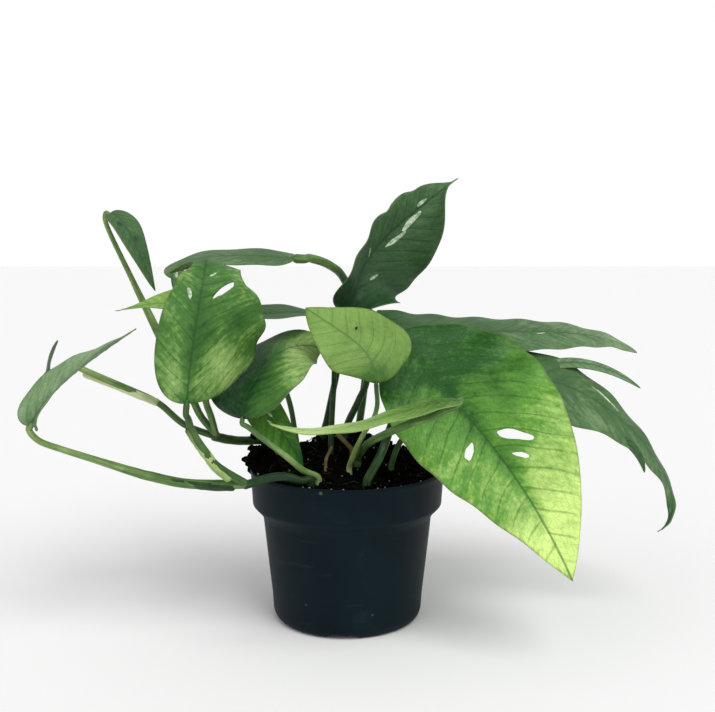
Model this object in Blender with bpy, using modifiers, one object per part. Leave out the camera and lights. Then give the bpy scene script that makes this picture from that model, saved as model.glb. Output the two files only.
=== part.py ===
"""A potted pothos: a dark nursery pot filled with soil, fifteen leaf blades,
their petioles, two runners that spill over the pot's left side, and two dead stubs.

Frame: metres, +Z up, origin at the centre of the pot's flat underside, front at -Y.
Plant points are written in millimetres from the centre of the rim's top plane,
as the plant stands at its drawn width, and plant_point() turns them into metres.
"""

import math

import bmesh
import bpy
from mathutils import Matrix, Vector
from mathutils.geometry import delaunay_2d_cdt

MM = 0.001

# Driving dimensions
POT_HEIGHT = 94 * MM
RIM_RADIUS = 60 * MM
PLANT_WIDTH = 400 * MM
PLANT_DRAWN_WIDTH = 400 * MM
DRAWN_RIM_RADIUS = 60 * MM
GROWTH = PLANT_WIDTH / PLANT_DRAWN_WIDTH
GROWTH_INSIDE_RIM = RIM_RADIUS / DRAWN_RIM_RADIUS
GROWTH_OUTSIDE_RIM = (PLANT_WIDTH - 2 * RIM_RADIUS) / (PLANT_DRAWN_WIDTH - 2 * DRAWN_RIM_RADIUS)
BLADE_THICKNESS = 1.0 * MM
STEM_GIRTH = 1.0

# Pot, worked out from its height and its rim
POT_WALL = 1.4 * MM
LIP_RADIUS = RIM_RADIUS
COLLAR_HEIGHT = 0.235 * POT_HEIGHT
COLLAR_RADIUS = RIM_RADIUS - 1.6 * MM
SHOULDER_HEIGHT = 0.10 * POT_HEIGHT
BODY_TOP_RADIUS = 0.865 * RIM_RADIUS
BODY_LOW_RADIUS = 0.775 * RIM_RADIUS
BASE_RADIUS = 0.70 * RIM_RADIUS
BASE_ROUND = 7 * MM
FLOOR_THICKNESS = 3 * MM
POT_SIDES = 48
NOTCH_WIDTH = 18 * MM
NOTCH_HEIGHT = 2.5 * MM
NOTCH_REACH = 7 * MM
NOTCH_COUNT = 4
NOTCH_TURN = math.radians(-93.5)

# Soil
GAP = 0.3 * MM
SOIL_EDGE_DROP = 3 * MM
MOUND_HEIGHT = 19 * MM
MOUND_BACK = 0.37 * RIM_RADIUS
MOUND_SPREAD_X = 0.70 * RIM_RADIUS
MOUND_SPREAD_Y = 0.43 * RIM_RADIUS
LUMP_HEIGHT = 14 * MM
LUMP_LEFT = 0.88 * RIM_RADIUS
LUMP_FORWARD = 0.03 * RIM_RADIUS
LUMP_SPREAD_X = 9 * MM
LUMP_SPREAD_Y = 12.6 * MM
SOIL_RELIEF = 0.8 * MM
SOIL_RINGS = 8
ROOT_DEPTH = 8 * MM
SOCKET_CLEARANCE = 0.9 * MM

# Mesh fineness
BLADE_CELL = 13 * MM
BLADE_STATIONS = 13
STEM_STEP = 8 * MM
HOLE_SIDES = 8
SOCKET_SIDES = 12

# Shares of the midrib over which the outline's bumps fade out at its two ends
MARGIN_FADE_BASE = 0.03
MARGIN_FADE_TIP = 0.06

# name: midrib control points, the way the blade faces at base and tip (azimuth and
# elevation, degrees), left and right half widths, outline powers, fold and cup (degrees,
# cup per 100 mm of half width), and margin: bumps and notches of the outline, as (side,
# place, spread along the midrib, amount in mm)
LEAVES = {
    "leaf_right_large": dict(
        midrib=((31, -6, 84), (58, -20, 45), (94, -56, 24), (122, -91, -42)),
        face=((-82, 48), (-93, 17)), width=(55, 43), shape=(0.64, 0.97), fold=9, cup=11),
    "leaf_centre": dict(
        midrib=((17, -48, 59), (16, -45, 80), (1, -37, 84), (-24, -25, 100)),
        face=((-84, 48), (-93, 54)), width=(22, 36), shape=(0.7, 0.84), fold=-8, cup=29,
        margin=((1, 0.12, 0.06, -3),)),
    "leaf_left_large": dict(
        midrib=((-87, -70, 51), (-84, -71, 86), (-69, -85, 143), (-83, -23, 126)),
        face=((-56, 18), (-95, 87)), width=(20, 50), shape=(0.41, 1.08), fold=-15, cup=31,
        margin=((0, 0.96, 0.07, 22), (1, 0.93, 0.1, 11), (1, 0.71, 0.03, -2))),
    "leaf_left_middle": dict(
        midrib=((-59, -50, 39), (-59, -49, 59), (-41, -17, 85), (-15, -9, 74)),
        face=((-131, 32), (-134, 41)), width=(40, 32), shape=(0.53, 0.66), fold=-2, cup=30,
        margin=((0, 0.85, 0.1, 3),)),
    "leaf_upright": dict(
        midrib=((5, 32, 92), (1, 37, 129), (32, 55, 149), (71, 42, 178)),
        face=((-95, -70), (-18, 46)), width=(25, 42), shape=(0.51, 0.9), fold=16, cup=3,
        margin=((1, 0.15, 0.08, 2), (0, 0.62, 0.03, -2), (0, 0.8, 0.03, -1.5))),
    "leaf_strap": dict(
        midrib=((18, 9, 93), (67, 26, 70), (152, 50, 91), (190, 46, 65)),
        face=((-92, 64), (-88, 74)), width=(26, 24), shape=(0.45, 0.76), fold=1, cup=50,
        margin=((0, 0.45, 0.15, -1.5),)),
    "leaf_lobed": dict(
        midrib=((83, 4, 46), (144, 10, 85), (234, 9, -27), (193, -4, -41)),
        face=((-66, 31), (118, 80)), width=(22, 33), shape=(0.52, 2.0), fold=0, cup=19,
        margin=((0, 0.93, 0.06, 1), (1, 0.93, 0.06, 1))),
    "leaf_far_left": dict(
        midrib=((-181, -45, 34), (-164, -61, 60), (-142, -59, 73), (-114, -67, 92)),
        face=((-45, 45), (-60, 87)), width=(20, 18), shape=(0.5, 1.16), fold=15, cup=19,
        margin=((1, 0.03, 0.05, -6),)),
    "leaf_far_left_small": dict(
        midrib=((-164, -22, 64), (-185, -16, 49), (-179, -21, 68), (-173, -13, 80)),
        face=((100, 86), (13, 11)), width=(9, 9), shape=(0.45, 0.84), fold=6, cup=21),
    "leaf_hanging": dict(
        midrib=((-139, -15, 155), (-129, -18, 154), (-121, -31, 135), (-112, -23, 110)),
        face=((-49, 53), (-28, 11)), width=(10, 11), shape=(0.45, 0.89), fold=8, cup=20),
    "leaf_arching": dict(
        midrib=((-32, 12, 128), (-62, 15, 129), (-118, 6, 136), (-104, -5, 108)),
        face=((-92, 73), (-150, 73)), width=(17, 20), shape=(0.43, 0.76), fold=0, cup=26,
        margin=((1, 0.92, 0.08, -9),)),
    "leaf_behind_left": dict(
        midrib=((-18, 14, 93), (-35, 6, 96), (-59, -4, 93), (-84, -10, 93)),
        face=((-90, 85), (-91, 74)), width=(17, 17), shape=(0.5, 1.0), fold=8, cup=20,
        margin=((1, 0.5, 0.12, 2),)),
    "leaf_pale_left": dict(
        midrib=((-78, -38, 91), (-96, -35, 109), (-108, -46, 104), (-130, -46, 100)),
        face=((-90, 65), (-90, 67)), width=(17, 17), shape=(0.5, 1.9), fold=12, cup=19),
    "leaf_front_edge": dict(
        midrib=((61, -80, 55), (38, -94, 59), (-3, -85, 29), (-41, -80, 42)),
        face=((-91, 88), (-90, 90)), width=(16, 15), shape=(0.47, 0.86), fold=0, cup=20),
    "leaf_under": dict(
        midrib=((-49, -16, 49), (-53, -18, 35), (-35, -22, 26), (-26, -27, 6)),
        face=((-56, 40), (-48, 20)), width=(11, 16), shape=(0.44, 0.92), fold=5, cup=21),
}

# Lobes that part from a blade and are grown as one piece with it, drawn like blades
LOBES = {
    "leaf_lobed": (
        dict(midrib=((120, 18, 58), (140, 22, 67), (168, 26, 60), (187, 24, 45)),
             face=((-80, 40), (-80, 50)), width=(3.5, 4.5), shape=(0.4, 0.7), fold=5, cup=20),
        dict(midrib=((165, -2, 19), (174, -11, 18), (181, -9, 6), (182, -9, -2)),
             face=((-70, 30), (-60, 20)), width=(3, 3), shape=(0.4, 0.7), fold=5, cup=20),
    ),
}

# Holes that split open along the veins: place along the midrib, offset from it,
# half length, half width (mm) and turn from the midrib (degrees)
BLADE_HOLES = {
    "leaf_right_large": (
        (0.585, 14.5, 10.5, 3.0, 45),
        (0.65, 10.5, 4.8, 1.5, 46),
        (0.555, -13.5, 6, 2.4, -48),
    ),
    "leaf_left_large": ((0.605, -13, 10, 1.8, -30),),
}

# Petioles that rise from the soil: way points from the blade down, the place of the
# foot in the soil, and radii at the blade and at the foot (mm)
PETIOLES = {
    "petiole_right_large": dict(
        leaf="leaf_right_large", reach=5, foot=(12, -45), radii=(2.2, 2.6),
        via=((26, -6, 89), (27, -6, 80), (30, -7, 62), (30, -16, 42), (24, -31, 25),
             (19, -39, 14))),
    "petiole_centre": dict(
        leaf="leaf_centre", reach=5, foot=(1.5, -18), radii=(1.2, 1.4, 2.0),
        via=((17.5, -49, 52), (17.5, -49, 46), (15.5, -44, 38), (11, -35, 29), (6, -28, 18),
             (3, -22, 9))),
    "petiole_left_middle": dict(
        leaf="leaf_left_middle", reach=3, foot=(-17, -37), radii=(1.2, 1.7, 2.3),
        via=((-56, -50, 34.5), (-48, -48, 27.5), (-35, -45, 16.5), (-25, -41, 7))),
    "petiole_upright": dict(
        leaf="leaf_upright", reach=6, foot=(-15, 18), radii=(1.9, 2.2),
        via=((3, 31, 80), (-5, 28, 66), (-7, 24, 54), (-10, 20, 40), (-13, 18, 26))),
    "petiole_arching": dict(
        leaf="leaf_arching", reach=6, foot=(7, 36), radii=(2.9, 2.8, 2.5, 2.3),
        via=((-23, 18, 128), (-11, 30, 123), (-2, 45, 113), (9, 54, 84), (12, 50, 58),
             (10, 43, 36))),
    "petiole_strap": dict(
        leaf="leaf_strap", reach=6, foot=(-2, 12), radii=(2.0, 2.4),
        via=((9, 5, 92), (9, 4, 76), (12, 4, 54), (7, 6, 40), (1, 9, 27))),
    "petiole_behind_left": dict(
        leaf="leaf_behind_left", reach=4, foot=(-10, 3), radii=(1.6, 2.0),
        via=((-10, 14, 86), (-8, 10, 72), (-8, 6, 52), (-9, 4, 35))),
    "petiole_front_edge": dict(
        leaf="leaf_front_edge", reach=2, foot=(6.5, -8), radii=(1.4, 2.2, 2.4),
        via=((60, -77, 51), (53.5, -78, 49), (46, -77, 45), (35, -74, 41), (26, -64, 35),
             (18, -49, 28), (12, -30, 20), (8.5, -16, 12))),
    "petiole_under": dict(
        leaf="leaf_under", reach=4, foot=(-30, 0), radii=(1.5, 1.8),
        via=((-44, -8, 59), (-40, -3, 54), (-35, 0, 38), (-32, 0, 20))),
    "petiole_lobed": dict(
        leaf="leaf_lobed", reach=6, foot=(27, -12), radii=(1.8, 2.0),
        via=((62, -2, 36), (46, -6, 28), (33, -9, 18))),
}

# Runners: a trunk from the soil to its last node, and the petioles that leave that node,
# each with its own radii (mm) from the blade or free end to the node
RUNNERS = {
    "runner_upper": dict(
        foot=(-44, 25), radius=2.9,
        trunk=((-82, -10, 21), (-72, 0, 16.5), (-62, 12, 13.5), (-54, 20, 12.5),
               (-48, 24, 12)),
        branches=(
            dict(leaf="leaf_pale_left", reach=5,
                 radii=(1.6, 2.0, 2.2, 2.3),
                 via=((-77, -37, 78), (-82, -32, 62), (-83, -26, 46), (-81, -18, 34))),
            dict(leaf="leaf_hanging", reach=3,
                 radii=(1.1, 1.2, 1.3, 1.5, 1.8, 3.0, 2.4, 2.2, 2.2),
                 via=((-141, -14, 147), (-129, -10, 118), (-119, -8, 95), (-110, -8, 76),
                      (-94, -11, 45), (-88, -12, 33))),
            dict(leaf="leaf_far_left_small", reach=3,
                 radii=(1.4, 1.6, 2.0, 2.2, 2.0, 2.3),
                 via=((-157, -26, 65), (-145, -24, 59), (-129, -20, 51), (-113, -15, 42),
                      (-98, -11, 28))),
        )),
    "runner_lower": dict(
        foot=(-21, -43.5), radius=2.6,
        trunk=((-60, -45.5, -1), (-50, -46, 2.2), (-41, -45, 4.2), (-33, -45.5, 4),
               (-26, -45, 1.6)),
        branches=(
            dict(leaf="leaf_left_large", reach=6,
                 radii=(1.5, 1.7, 2.0, 2.4, 2.6),
                 via=((-87, -66, 42), (-85.5, -62, 34), (-80, -58, 23), (-73, -53, 12))),
            dict(leaf="leaf_far_left", reach=3,
                 radii=(1.6, 1.8, 1.9, 1.9, 1.9, 2.8, 2.9, 2.8),
                 via=((-180, -45, 28.5), (-175, -45, 24.5), (-164, -45, 20.5),
                      (-144, -45, 14), (-122, -45, 7), (-113, -45, 4.5), (-90, -45, 0))),
        )),
}

# Dead stubs: way points from the free end to the soil, the foot, and the radii (mm)
STUBS = {
    "stub_long": dict(
        via=((-6.5, -1, 21), (-1.5, -1, 15.5)), foot=(3, -1),
        radii=(1.5, 1.8)),
    "stub_short": dict(
        via=((-9, -12, 15), (-12, -12, 9)), foot=(-13, -12),
        radii=(0.9, 1.3)),
}

COLOURS = {
    "pot": ((0.010, 0.021, 0.027), 0.5),
    "soil": ((0.012, 0.010, 0.008), 0.95),
    "leaf": ((0.11, 0.27, 0.05), 0.4),
    "petiole": ((0.22, 0.38, 0.11), 0.45),
    "runner": ((0.20, 0.34, 0.11), 0.5),
    "stub": ((0.36, 0.30, 0.20), 0.8),
}


def clear_scene():
    """Remove what the start-up file holds."""
    for item in list(bpy.data.objects):
        bpy.data.objects.remove(item, do_unlink=True)


def new_collection(name):
    collection = bpy.data.collections.new(name)
    bpy.context.scene.collection.children.link(collection)
    return collection


def material_for(name):
    """A material of its own, coloured by the kind of sub-part that the name starts with."""
    colour, roughness = COLOURS[name.split("_")[0]]
    material = bpy.data.materials.new(name)
    material.use_nodes = True
    shader = material.node_tree.nodes["Principled BSDF"]
    shader.inputs["Base Color"].default_value = (*colour, 1.0)
    shader.inputs["Roughness"].default_value = roughness
    shader.inputs["Metallic"].default_value = 0.0
    return material


def add_object(name, data, collection):
    item = bpy.data.objects.new(name, data)
    collection.objects.link(item)
    if collection is PARTS:
        data.materials.append(material_for(name))
    else:
        item.hide_render = True
        item.display_type = "WIRE"
    return item


def mesh_from(name, shape):
    """Turn a bmesh into a smooth-shaded mesh."""
    mesh = bpy.data.meshes.new(name)
    shape.to_mesh(mesh)
    shape.free()
    mesh.shade_smooth()
    mesh.set_sharp_from_angle(angle=math.radians(40))
    return mesh


def cut(item, cutter, operation="DIFFERENCE"):
    modifier = item.modifiers.new(cutter.name, "BOOLEAN")
    modifier.operation = operation
    modifier.solver = "EXACT"
    modifier.object = cutter


def turned(name, profile, sides, collection):
    """A solid of revolution about Z, from a profile of (radius, height) points."""
    shape = bmesh.new()
    points = [shape.verts.new((radius, 0.0, height)) for radius, height in profile]
    for first, second in zip(points, points[1:]):
        shape.edges.new((first, second))
    item = add_object(name, mesh_from(name, shape), collection)
    screw = item.modifiers.new("turn", "SCREW")
    screw.steps = sides
    screw.render_steps = sides
    screw.use_merge_vertices = True
    screw.merge_threshold = 0.00002
    screw.use_smooth_shade = False
    return item


def plant_point(point):
    """Metres, from millimetres measured from the centre of the rim's top plane.

    What is drawn inside the rim keeps its place in the pot, and what is drawn outside
    the rim spreads with the plant's width.
    """
    x, y, z = Vector(point) * MM
    drawn = math.hypot(x, y)
    inside_rim = min(drawn, DRAWN_RIM_RADIUS) * GROWTH_INSIDE_RIM
    outside_rim = max(drawn - DRAWN_RIM_RADIUS, 0.0) * GROWTH_OUTSIDE_RIM
    stretch = (inside_rim + outside_rim) / drawn if drawn else 1.0
    return Vector((x * stretch, y * stretch, z * GROWTH + POT_HEIGHT))


# Pot and soil

def outer_wall():
    """(radius, height) points down the pot's outside, from the lip to the underside."""
    collar_foot = POT_HEIGHT - COLLAR_HEIGHT
    shoulder_foot = collar_foot - SHOULDER_HEIGHT
    points = [
        (LIP_RADIUS - 0.6 * MM, POT_HEIGHT),
        (LIP_RADIUS, POT_HEIGHT - 0.8 * MM),
        (LIP_RADIUS - 0.2 * MM, POT_HEIGHT - 3 * MM),
        (COLLAR_RADIUS, collar_foot),
        (COLLAR_RADIUS - 2.5 * MM, collar_foot - 0.35 * SHOULDER_HEIGHT),
        (BODY_TOP_RADIUS, shoulder_foot),
        (BODY_LOW_RADIUS, BASE_ROUND * 1.6),
    ]
    corner_steps = 4
    for step in range(1, corner_steps + 1):
        turn = 0.5 * math.pi * step / corner_steps
        radius = BASE_RADIUS + (BODY_LOW_RADIUS - BASE_RADIUS - 0.4 * MM) * math.cos(turn)
        points.append((radius, BASE_ROUND * (1.0 - math.sin(turn))))
    return points


def inner_wall():
    """(radius, height) points up the pot's inside, from the floor to the lip."""
    collar_foot = POT_HEIGHT - COLLAR_HEIGHT
    shoulder_foot = collar_foot - SHOULDER_HEIGHT
    return [
        (BASE_RADIUS - 1.5 * MM, FLOOR_THICKNESS),
        (BODY_LOW_RADIUS - POT_WALL, BASE_ROUND * 1.8),
        (BODY_TOP_RADIUS - POT_WALL, shoulder_foot),
        (COLLAR_RADIUS - POT_WALL, collar_foot),
        (LIP_RADIUS - POT_WALL, POT_HEIGHT),
    ]


def make_pot():
    profile = [(0.0, FLOOR_THICKNESS), *inner_wall(), *outer_wall(), (0.0, 0.0)]
    pot = turned("pot", profile, POT_SIDES, PARTS)
    for index in range(NOTCH_COUNT):
        turn = NOTCH_TURN + index * 2 * math.pi / NOTCH_COUNT
        shape = bmesh.new()
        size = Matrix.Diagonal((2 * NOTCH_REACH, NOTCH_WIDTH, 2 * NOTCH_HEIGHT, 1.0))
        bmesh.ops.create_cube(shape, size=1.0, matrix=size)
        notch = add_object(f"notch_{index}", mesh_from("notch", shape), CUTTERS)
        notch.location = (BODY_LOW_RADIUS * math.cos(turn), BODY_LOW_RADIUS * math.sin(turn), 0.0)
        notch.rotation_euler.z = turn
        cut(pot, notch)
    return pot


def soil_height(x, y):
    """Height of the soil's top above the origin: a mound towards the back, low at the rim,
    and a lump that stands up at the left edge."""
    edge = math.hypot(x, y) / (LIP_RADIUS - POT_WALL)
    mound = math.exp(-(x / MOUND_SPREAD_X) ** 2 - ((y - MOUND_BACK) / MOUND_SPREAD_Y) ** 2)
    fade = 1.0 - min(edge, 1.0) ** 6
    relief = math.sin(410 * x + 1.7) * math.cos(370 * y) + 0.6 * math.sin(690 * (x + y))
    lump = ((x + LUMP_LEFT) / LUMP_SPREAD_X) ** 4 + ((y + LUMP_FORWARD) / LUMP_SPREAD_Y) ** 4
    rise = fade * (MOUND_HEIGHT * mound + SOIL_RELIEF * relief) + LUMP_HEIGHT * math.exp(-lump)
    return POT_HEIGHT - SOIL_EDGE_DROP + rise


def make_soil(feet):
    """Soil that fills the pot, with a mounded top and a socket for each stem's foot."""
    brim = LIP_RADIUS - POT_WALL - GAP - 0.1 * MM
    level = POT_HEIGHT - SOIL_EDGE_DROP
    top = [(brim * ring / SOIL_RINGS, level) for ring in range(SOIL_RINGS + 1)]
    side = [(radius - GAP, height) for radius, height in reversed(inner_wall()[1:-1])]
    radius, height = inner_wall()[0]
    side.append((radius - GAP, height + GAP))
    shape = bmesh.new()
    rim_line = [shape.verts.new((r, 0.0, h)) for r, h in [*top, *side, (0.0, height + GAP)]]
    edges = [shape.edges.new(pair) for pair in zip(rim_line, rim_line[1:])]
    bmesh.ops.spin(shape, geom=rim_line + edges, axis=(0, 0, 1), cent=(0, 0, 0),
                   angle=2 * math.pi, steps=POT_SIDES)
    bmesh.ops.remove_doubles(shape, verts=shape.verts, dist=0.00002)
    for corner in shape.verts:
        if corner.co.z > level - 0.1 * MM:
            corner.co.z = soil_height(corner.co.x, corner.co.y)
    bmesh.ops.recalc_face_normals(shape, faces=shape.faces)
    soil = add_object("soil", mesh_from("soil", shape), PARTS)
    for index, (foot, radius) in enumerate(feet):
        shape = bmesh.new()
        width = radius + SOCKET_CLEARANCE
        bmesh.ops.create_cone(shape, cap_ends=True, segments=SOCKET_SIDES, radius1=width,
                              radius2=width, depth=3 * ROOT_DEPTH)
        socket = add_object(f"socket_{index}", mesh_from("socket", shape), CUTTERS)
        socket.location = foot + Vector((0.0, 0.0, 1.5 * ROOT_DEPTH - SOCKET_CLEARANCE))
        cut(soil, socket)
    return soil


# Leaf blades

def direction(azimuth, elevation):
    azimuth, elevation = math.radians(azimuth), math.radians(elevation)
    flat = math.cos(elevation)
    return Vector((flat * math.cos(azimuth), flat * math.sin(azimuth), math.sin(elevation)))


def midrib_frame(leaf, place):
    """Point, tangent, leftward and upward directions at a place from 0 (base) to 1 (tip)."""
    p0, p1, p2, p3 = [plant_point(point) for point in leaf["midrib"]]
    rest = 1.0 - place
    point = rest ** 3 * p0 + 3 * rest ** 2 * place * p1
    point += 3 * rest * place ** 2 * p2 + place ** 3 * p3
    tangent = rest ** 2 * (p1 - p0) + 2 * rest * place * (p2 - p1) + place ** 2 * (p3 - p2)
    tangent.normalize()
    facing = direction(*leaf["face"][0]).lerp(direction(*leaf["face"][1]), place)
    left = facing.cross(tangent).normalized()
    return point, tangent, left, tangent.cross(left)


def blade_point(leaf, place, offset):
    """A point of the bent blade, offset to the left (+) or the right (-) of its midrib."""
    point, _, left, up = midrib_frame(leaf, place)
    reach = abs(offset)
    fold = math.radians(leaf["fold"])
    bend = math.radians(leaf["cup"]) / (100 * MM)
    aside = (math.sin(fold) - math.sin(fold - bend * reach)) / bend
    rise = (math.cos(fold - bend * reach) - math.cos(fold)) / bend
    return point + left * math.copysign(aside, offset) + up * rise


def half_width(leaf, place, side):
    """Half width of the blade at a place along its midrib."""
    low, high = leaf["shape"]
    widest = low / (low + high)
    peak = widest ** low * (1.0 - widest) ** high
    width = leaf["width"][side] * place ** low * (1.0 - place) ** high / peak
    fade = min(place / MARGIN_FADE_BASE, (1.0 - place) / MARGIN_FADE_TIP, 1.0)
    for margin_side, centre, reach, amount in leaf.get("margin", ()):
        if margin_side == side:
            width += fade * amount * math.exp(-((place - centre) / reach) ** 2)
    return max(width, 0.0) * MM * GROWTH


def midrib_length(leaf):
    steps = 24
    points = [midrib_frame(leaf, step / steps)[0] for step in range(steps + 1)]
    return sum((second - first).length for first, second in zip(points, points[1:]))


def inside(point, loop):
    """Whether a flat point lies inside a closed loop of flat points."""
    crossings = 0
    for (x0, y0), (x1, y1) in zip(loop, loop[1:] + loop[:1]):
        if (y0 > point[1]) != (y1 > point[1]):
            crossings += point[0] < x0 + (point[1] - y0) * (x1 - x0) / (y1 - y0)
    return crossings % 2 == 1


def distance_to(point, loop):
    return min(math.dist(point, corner) for corner in loop)


def flat_blade(leaf, holes):
    """Outline loops and inner points of the blade laid flat: along the midrib, across it."""
    length = midrib_length(leaf)
    steps = range(BLADE_STATIONS + 1)
    places = [0.5 - 0.5 * math.cos(math.pi * step / BLADE_STATIONS) for step in steps]
    left = [(place * length, half_width(leaf, place, 0)) for place in places]
    right = [(place * length, -half_width(leaf, place, 1)) for place in places[1:-1]]
    loops = [left + right[::-1]]
    for place, offset, half_long, half_wide, turn in holes:
        turn = math.radians(turn)
        loop = []
        for step in range(HOLE_SIDES):
            angle = 2 * math.pi * step / HOLE_SIDES
            x, y = half_long * math.cos(angle), half_wide * math.sin(angle)
            along = x * math.cos(turn) - y * math.sin(turn)
            across = x * math.sin(turn) + y * math.cos(turn)
            loop.append((place * length + along * MM * GROWTH, (offset + across) * MM * GROWTH))
        loops.append(loop)
    rib = [(place * length, 0.0) for place in places[1:-1]]
    inner = []
    rows = math.ceil(max(leaf["width"]) * MM * GROWTH / BLADE_CELL)
    columns = math.ceil(length / BLADE_CELL)
    for row in range(-rows, rows + 1):
        for column in range(columns + 1):
            spot = ((column + 0.5 * (row % 2)) * BLADE_CELL, row * BLADE_CELL * 0.87)
            if row == 0 or not inside(spot, loops[0]):
                continue
            if any(inside(spot, loop) for loop in loops[1:]):
                continue
            if min(distance_to(spot, loop) for loop in loops) > 0.45 * BLADE_CELL:
                inner.append(spot)
    return length, loops, rib, inner


def make_sheet(name, leaf, holes, collection):
    """One thin curved sheet, with its open holes."""
    length, loops, rib, inner = flat_blade(leaf, holes)
    points, edges = [], []
    for loop in loops:
        start = len(points)
        points += loop
        edges += [(start + step, start + (step + 1) % len(loop)) for step in range(len(loop))]
    spine = [0, *range(len(points), len(points) + len(rib)), BLADE_STATIONS]
    points += rib
    edges += list(zip(spine, spine[1:]))
    points += inner
    flat, _, faces, *_ = delaunay_2d_cdt([Vector(point) for point in points], edges, [], 0, 1e-7)
    shape = bmesh.new()
    places = [min(max(spot.x / length, 0.0), 1.0) for spot in flat]
    corners = [shape.verts.new(blade_point(leaf, *pair)) for pair in zip(places, [p.y for p in flat])]
    for face in faces:
        middle = sum((flat[index] for index in face), Vector((0.0, 0.0))) / len(face)
        if inside(middle, loops[0]) and not any(inside(middle, loop) for loop in loops[1:]):
            shape.faces.new([corners[index] for index in face])
    bmesh.ops.delete(shape, geom=[c for c in shape.verts if not c.link_faces], context="VERTS")
    bmesh.ops.recalc_face_normals(shape, faces=shape.faces)
    sheet = add_object(name, mesh_from(name, shape), collection)
    solid = sheet.modifiers.new("thickness", "SOLIDIFY")
    solid.thickness = BLADE_THICKNESS
    solid.offset = 0.0
    return sheet


def make_blade(name):
    """A leaf's blade, joined with the lobes that part from it."""
    blade = make_sheet(name, LEAVES[name], BLADE_HOLES.get(name, ()), PARTS)
    for index, lobe in enumerate(LOBES.get(name, ())):
        cut(blade, make_sheet(f"{name}_lobe_{index}", lobe, (), CUTTERS), "UNION")


# Stems

def smooth_route(points):
    """Points every few millimetres along a smooth curve through (position, radius) points."""
    ends = [points[0], *points, points[-1]]
    route = []
    for before, start, end, after in zip(ends, ends[1:], ends[2:], ends[3:]):
        span = (end[0] - start[0]).length
        steps = max(2, round(span / STEM_STEP))
        for step in range(steps):
            t = step / steps
            position = 0.5 * (2 * start[0] + t * (end[0] - before[0])
                              + t ** 2 * (2 * before[0] - 5 * start[0] + 4 * end[0] - after[0])
                              + t ** 3 * (3 * start[0] - before[0] - 3 * end[0] + after[0]))
            route.append((position, start[1] + t * (end[1] - start[1])))
    route.append(points[-1])
    return route


def tube(name, points, collection):
    """A round stem along (position, radius) points, as a curve with filled ends."""
    curve = bpy.data.curves.new(name, "CURVE")
    curve.dimensions = "3D"
    curve.bevel_depth = MM * STEM_GIRTH
    curve.bevel_resolution = 2
    curve.use_fill_caps = True
    route = smooth_route(points)
    spline = curve.splines.new("POLY")
    spline.points.add(len(route) - 1)
    for spot, (position, radius) in zip(spline.points, route):
        spot.co = (*position, 1.0)
        spot.radius = radius
    return add_object(name, curve, collection)


def spread(radii, count):
    """Radii for a number of points, read evenly from a shorter or an equal list."""
    last = len(radii) - 1
    result = []
    for index in range(count):
        place = index * last / (count - 1)
        low = min(int(place), last - 1)
        result.append(radii[low] + (place - low) * (radii[low + 1] - radii[low]))
    return result


def blade_end(leaf_name, reach):
    """The two points where a petiole meets its blade, in line with the midrib."""
    base, tangent, _, _ = midrib_frame(LEAVES[leaf_name], 0.0)
    return [base - tangent * (GAP + 0.5 * BLADE_THICKNESS), base - tangent * reach * MM * GROWTH]


def foot_points(foot):
    """The points where a stem goes straight down into the soil, the last one its end."""
    spot = plant_point((*foot, 0))
    surface = soil_height(spot.x, spot.y)
    heights = (surface + 5 * MM, surface, surface - ROOT_DEPTH)
    return [Vector((spot.x, spot.y, height)) for height in heights]


def mesh_copy(item):
    """Replace a curve object by a mesh object of the same shape, with its caps joined on."""
    evaluated = item.evaluated_get(bpy.context.evaluated_depsgraph_get())
    mesh = bpy.data.meshes.new_from_object(evaluated)
    shape = bmesh.new()
    shape.from_mesh(mesh)
    bmesh.ops.remove_doubles(shape, verts=shape.verts, dist=0.00001)
    shape.to_mesh(mesh)
    shape.free()
    solid = bpy.data.objects.new(item.name + "_solid", mesh)
    solid.matrix_world = item.matrix_world
    return solid


def make_petiole(name, spec):
    """A petiole from its blade down to its foot in the soil, and what its socket needs."""
    via = [plant_point(point) for point in spec["via"]]
    foot = foot_points(spec["foot"])
    positions = [*blade_end(spec["leaf"], spec["reach"]), *via, *foot]
    radii = spread(spec["radii"], len(positions))
    tube(name, list(zip(positions, radii)), PARTS)
    return foot[-1], radii[-1] * MM * STEM_GIRTH


def make_stub(name, spec):
    via = [plant_point(point) for point in spec["via"]]
    foot = foot_points(spec["foot"])
    radii = spread(spec["radii"], len(via) + len(foot))
    tube(name, list(zip([*via, *foot], radii)), PARTS)
    return foot[-1], radii[-1] * MM * STEM_GIRTH


def make_runner(name, spec):
    """A runner over the rim, grown as one piece with the petioles that leave its node."""
    trunk = [plant_point(point) for point in spec["trunk"]]
    foot = foot_points(spec["foot"])
    radius = spec["radius"]
    stem = tube(name + "_trunk", [(point, radius) for point in [*trunk, *foot]], CUTTERS)
    pieces = [stem]
    for index, branch in enumerate(spec["branches"]):
        via = [plant_point(point) for point in branch["via"]]
        node = trunk[0] + (trunk[1] - trunk[0]) * (0.25 + 0.1 * index)
        positions = [*blade_end(branch["leaf"], branch["reach"]), *via, node]
        radii = spread(branch["radii"], len(positions))
        pieces.append(tube(f"{name}_branch_{index}", list(zip(positions, radii)), CUTTERS))
    bpy.context.view_layer.update()
    solids = [mesh_copy(piece) for piece in pieces]
    for piece in pieces:
        bpy.data.objects.remove(piece, do_unlink=True)
    runner = add_object(name, solids[0].data, PARTS)
    for branch in solids[1:]:
        cut(runner, add_object(branch.name, branch.data, CUTTERS), "UNION")
    return foot[-1], radius * MM * STEM_GIRTH


clear_scene()
PARTS = new_collection("potted_pothos")
CUTTERS = new_collection("cutters")

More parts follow.
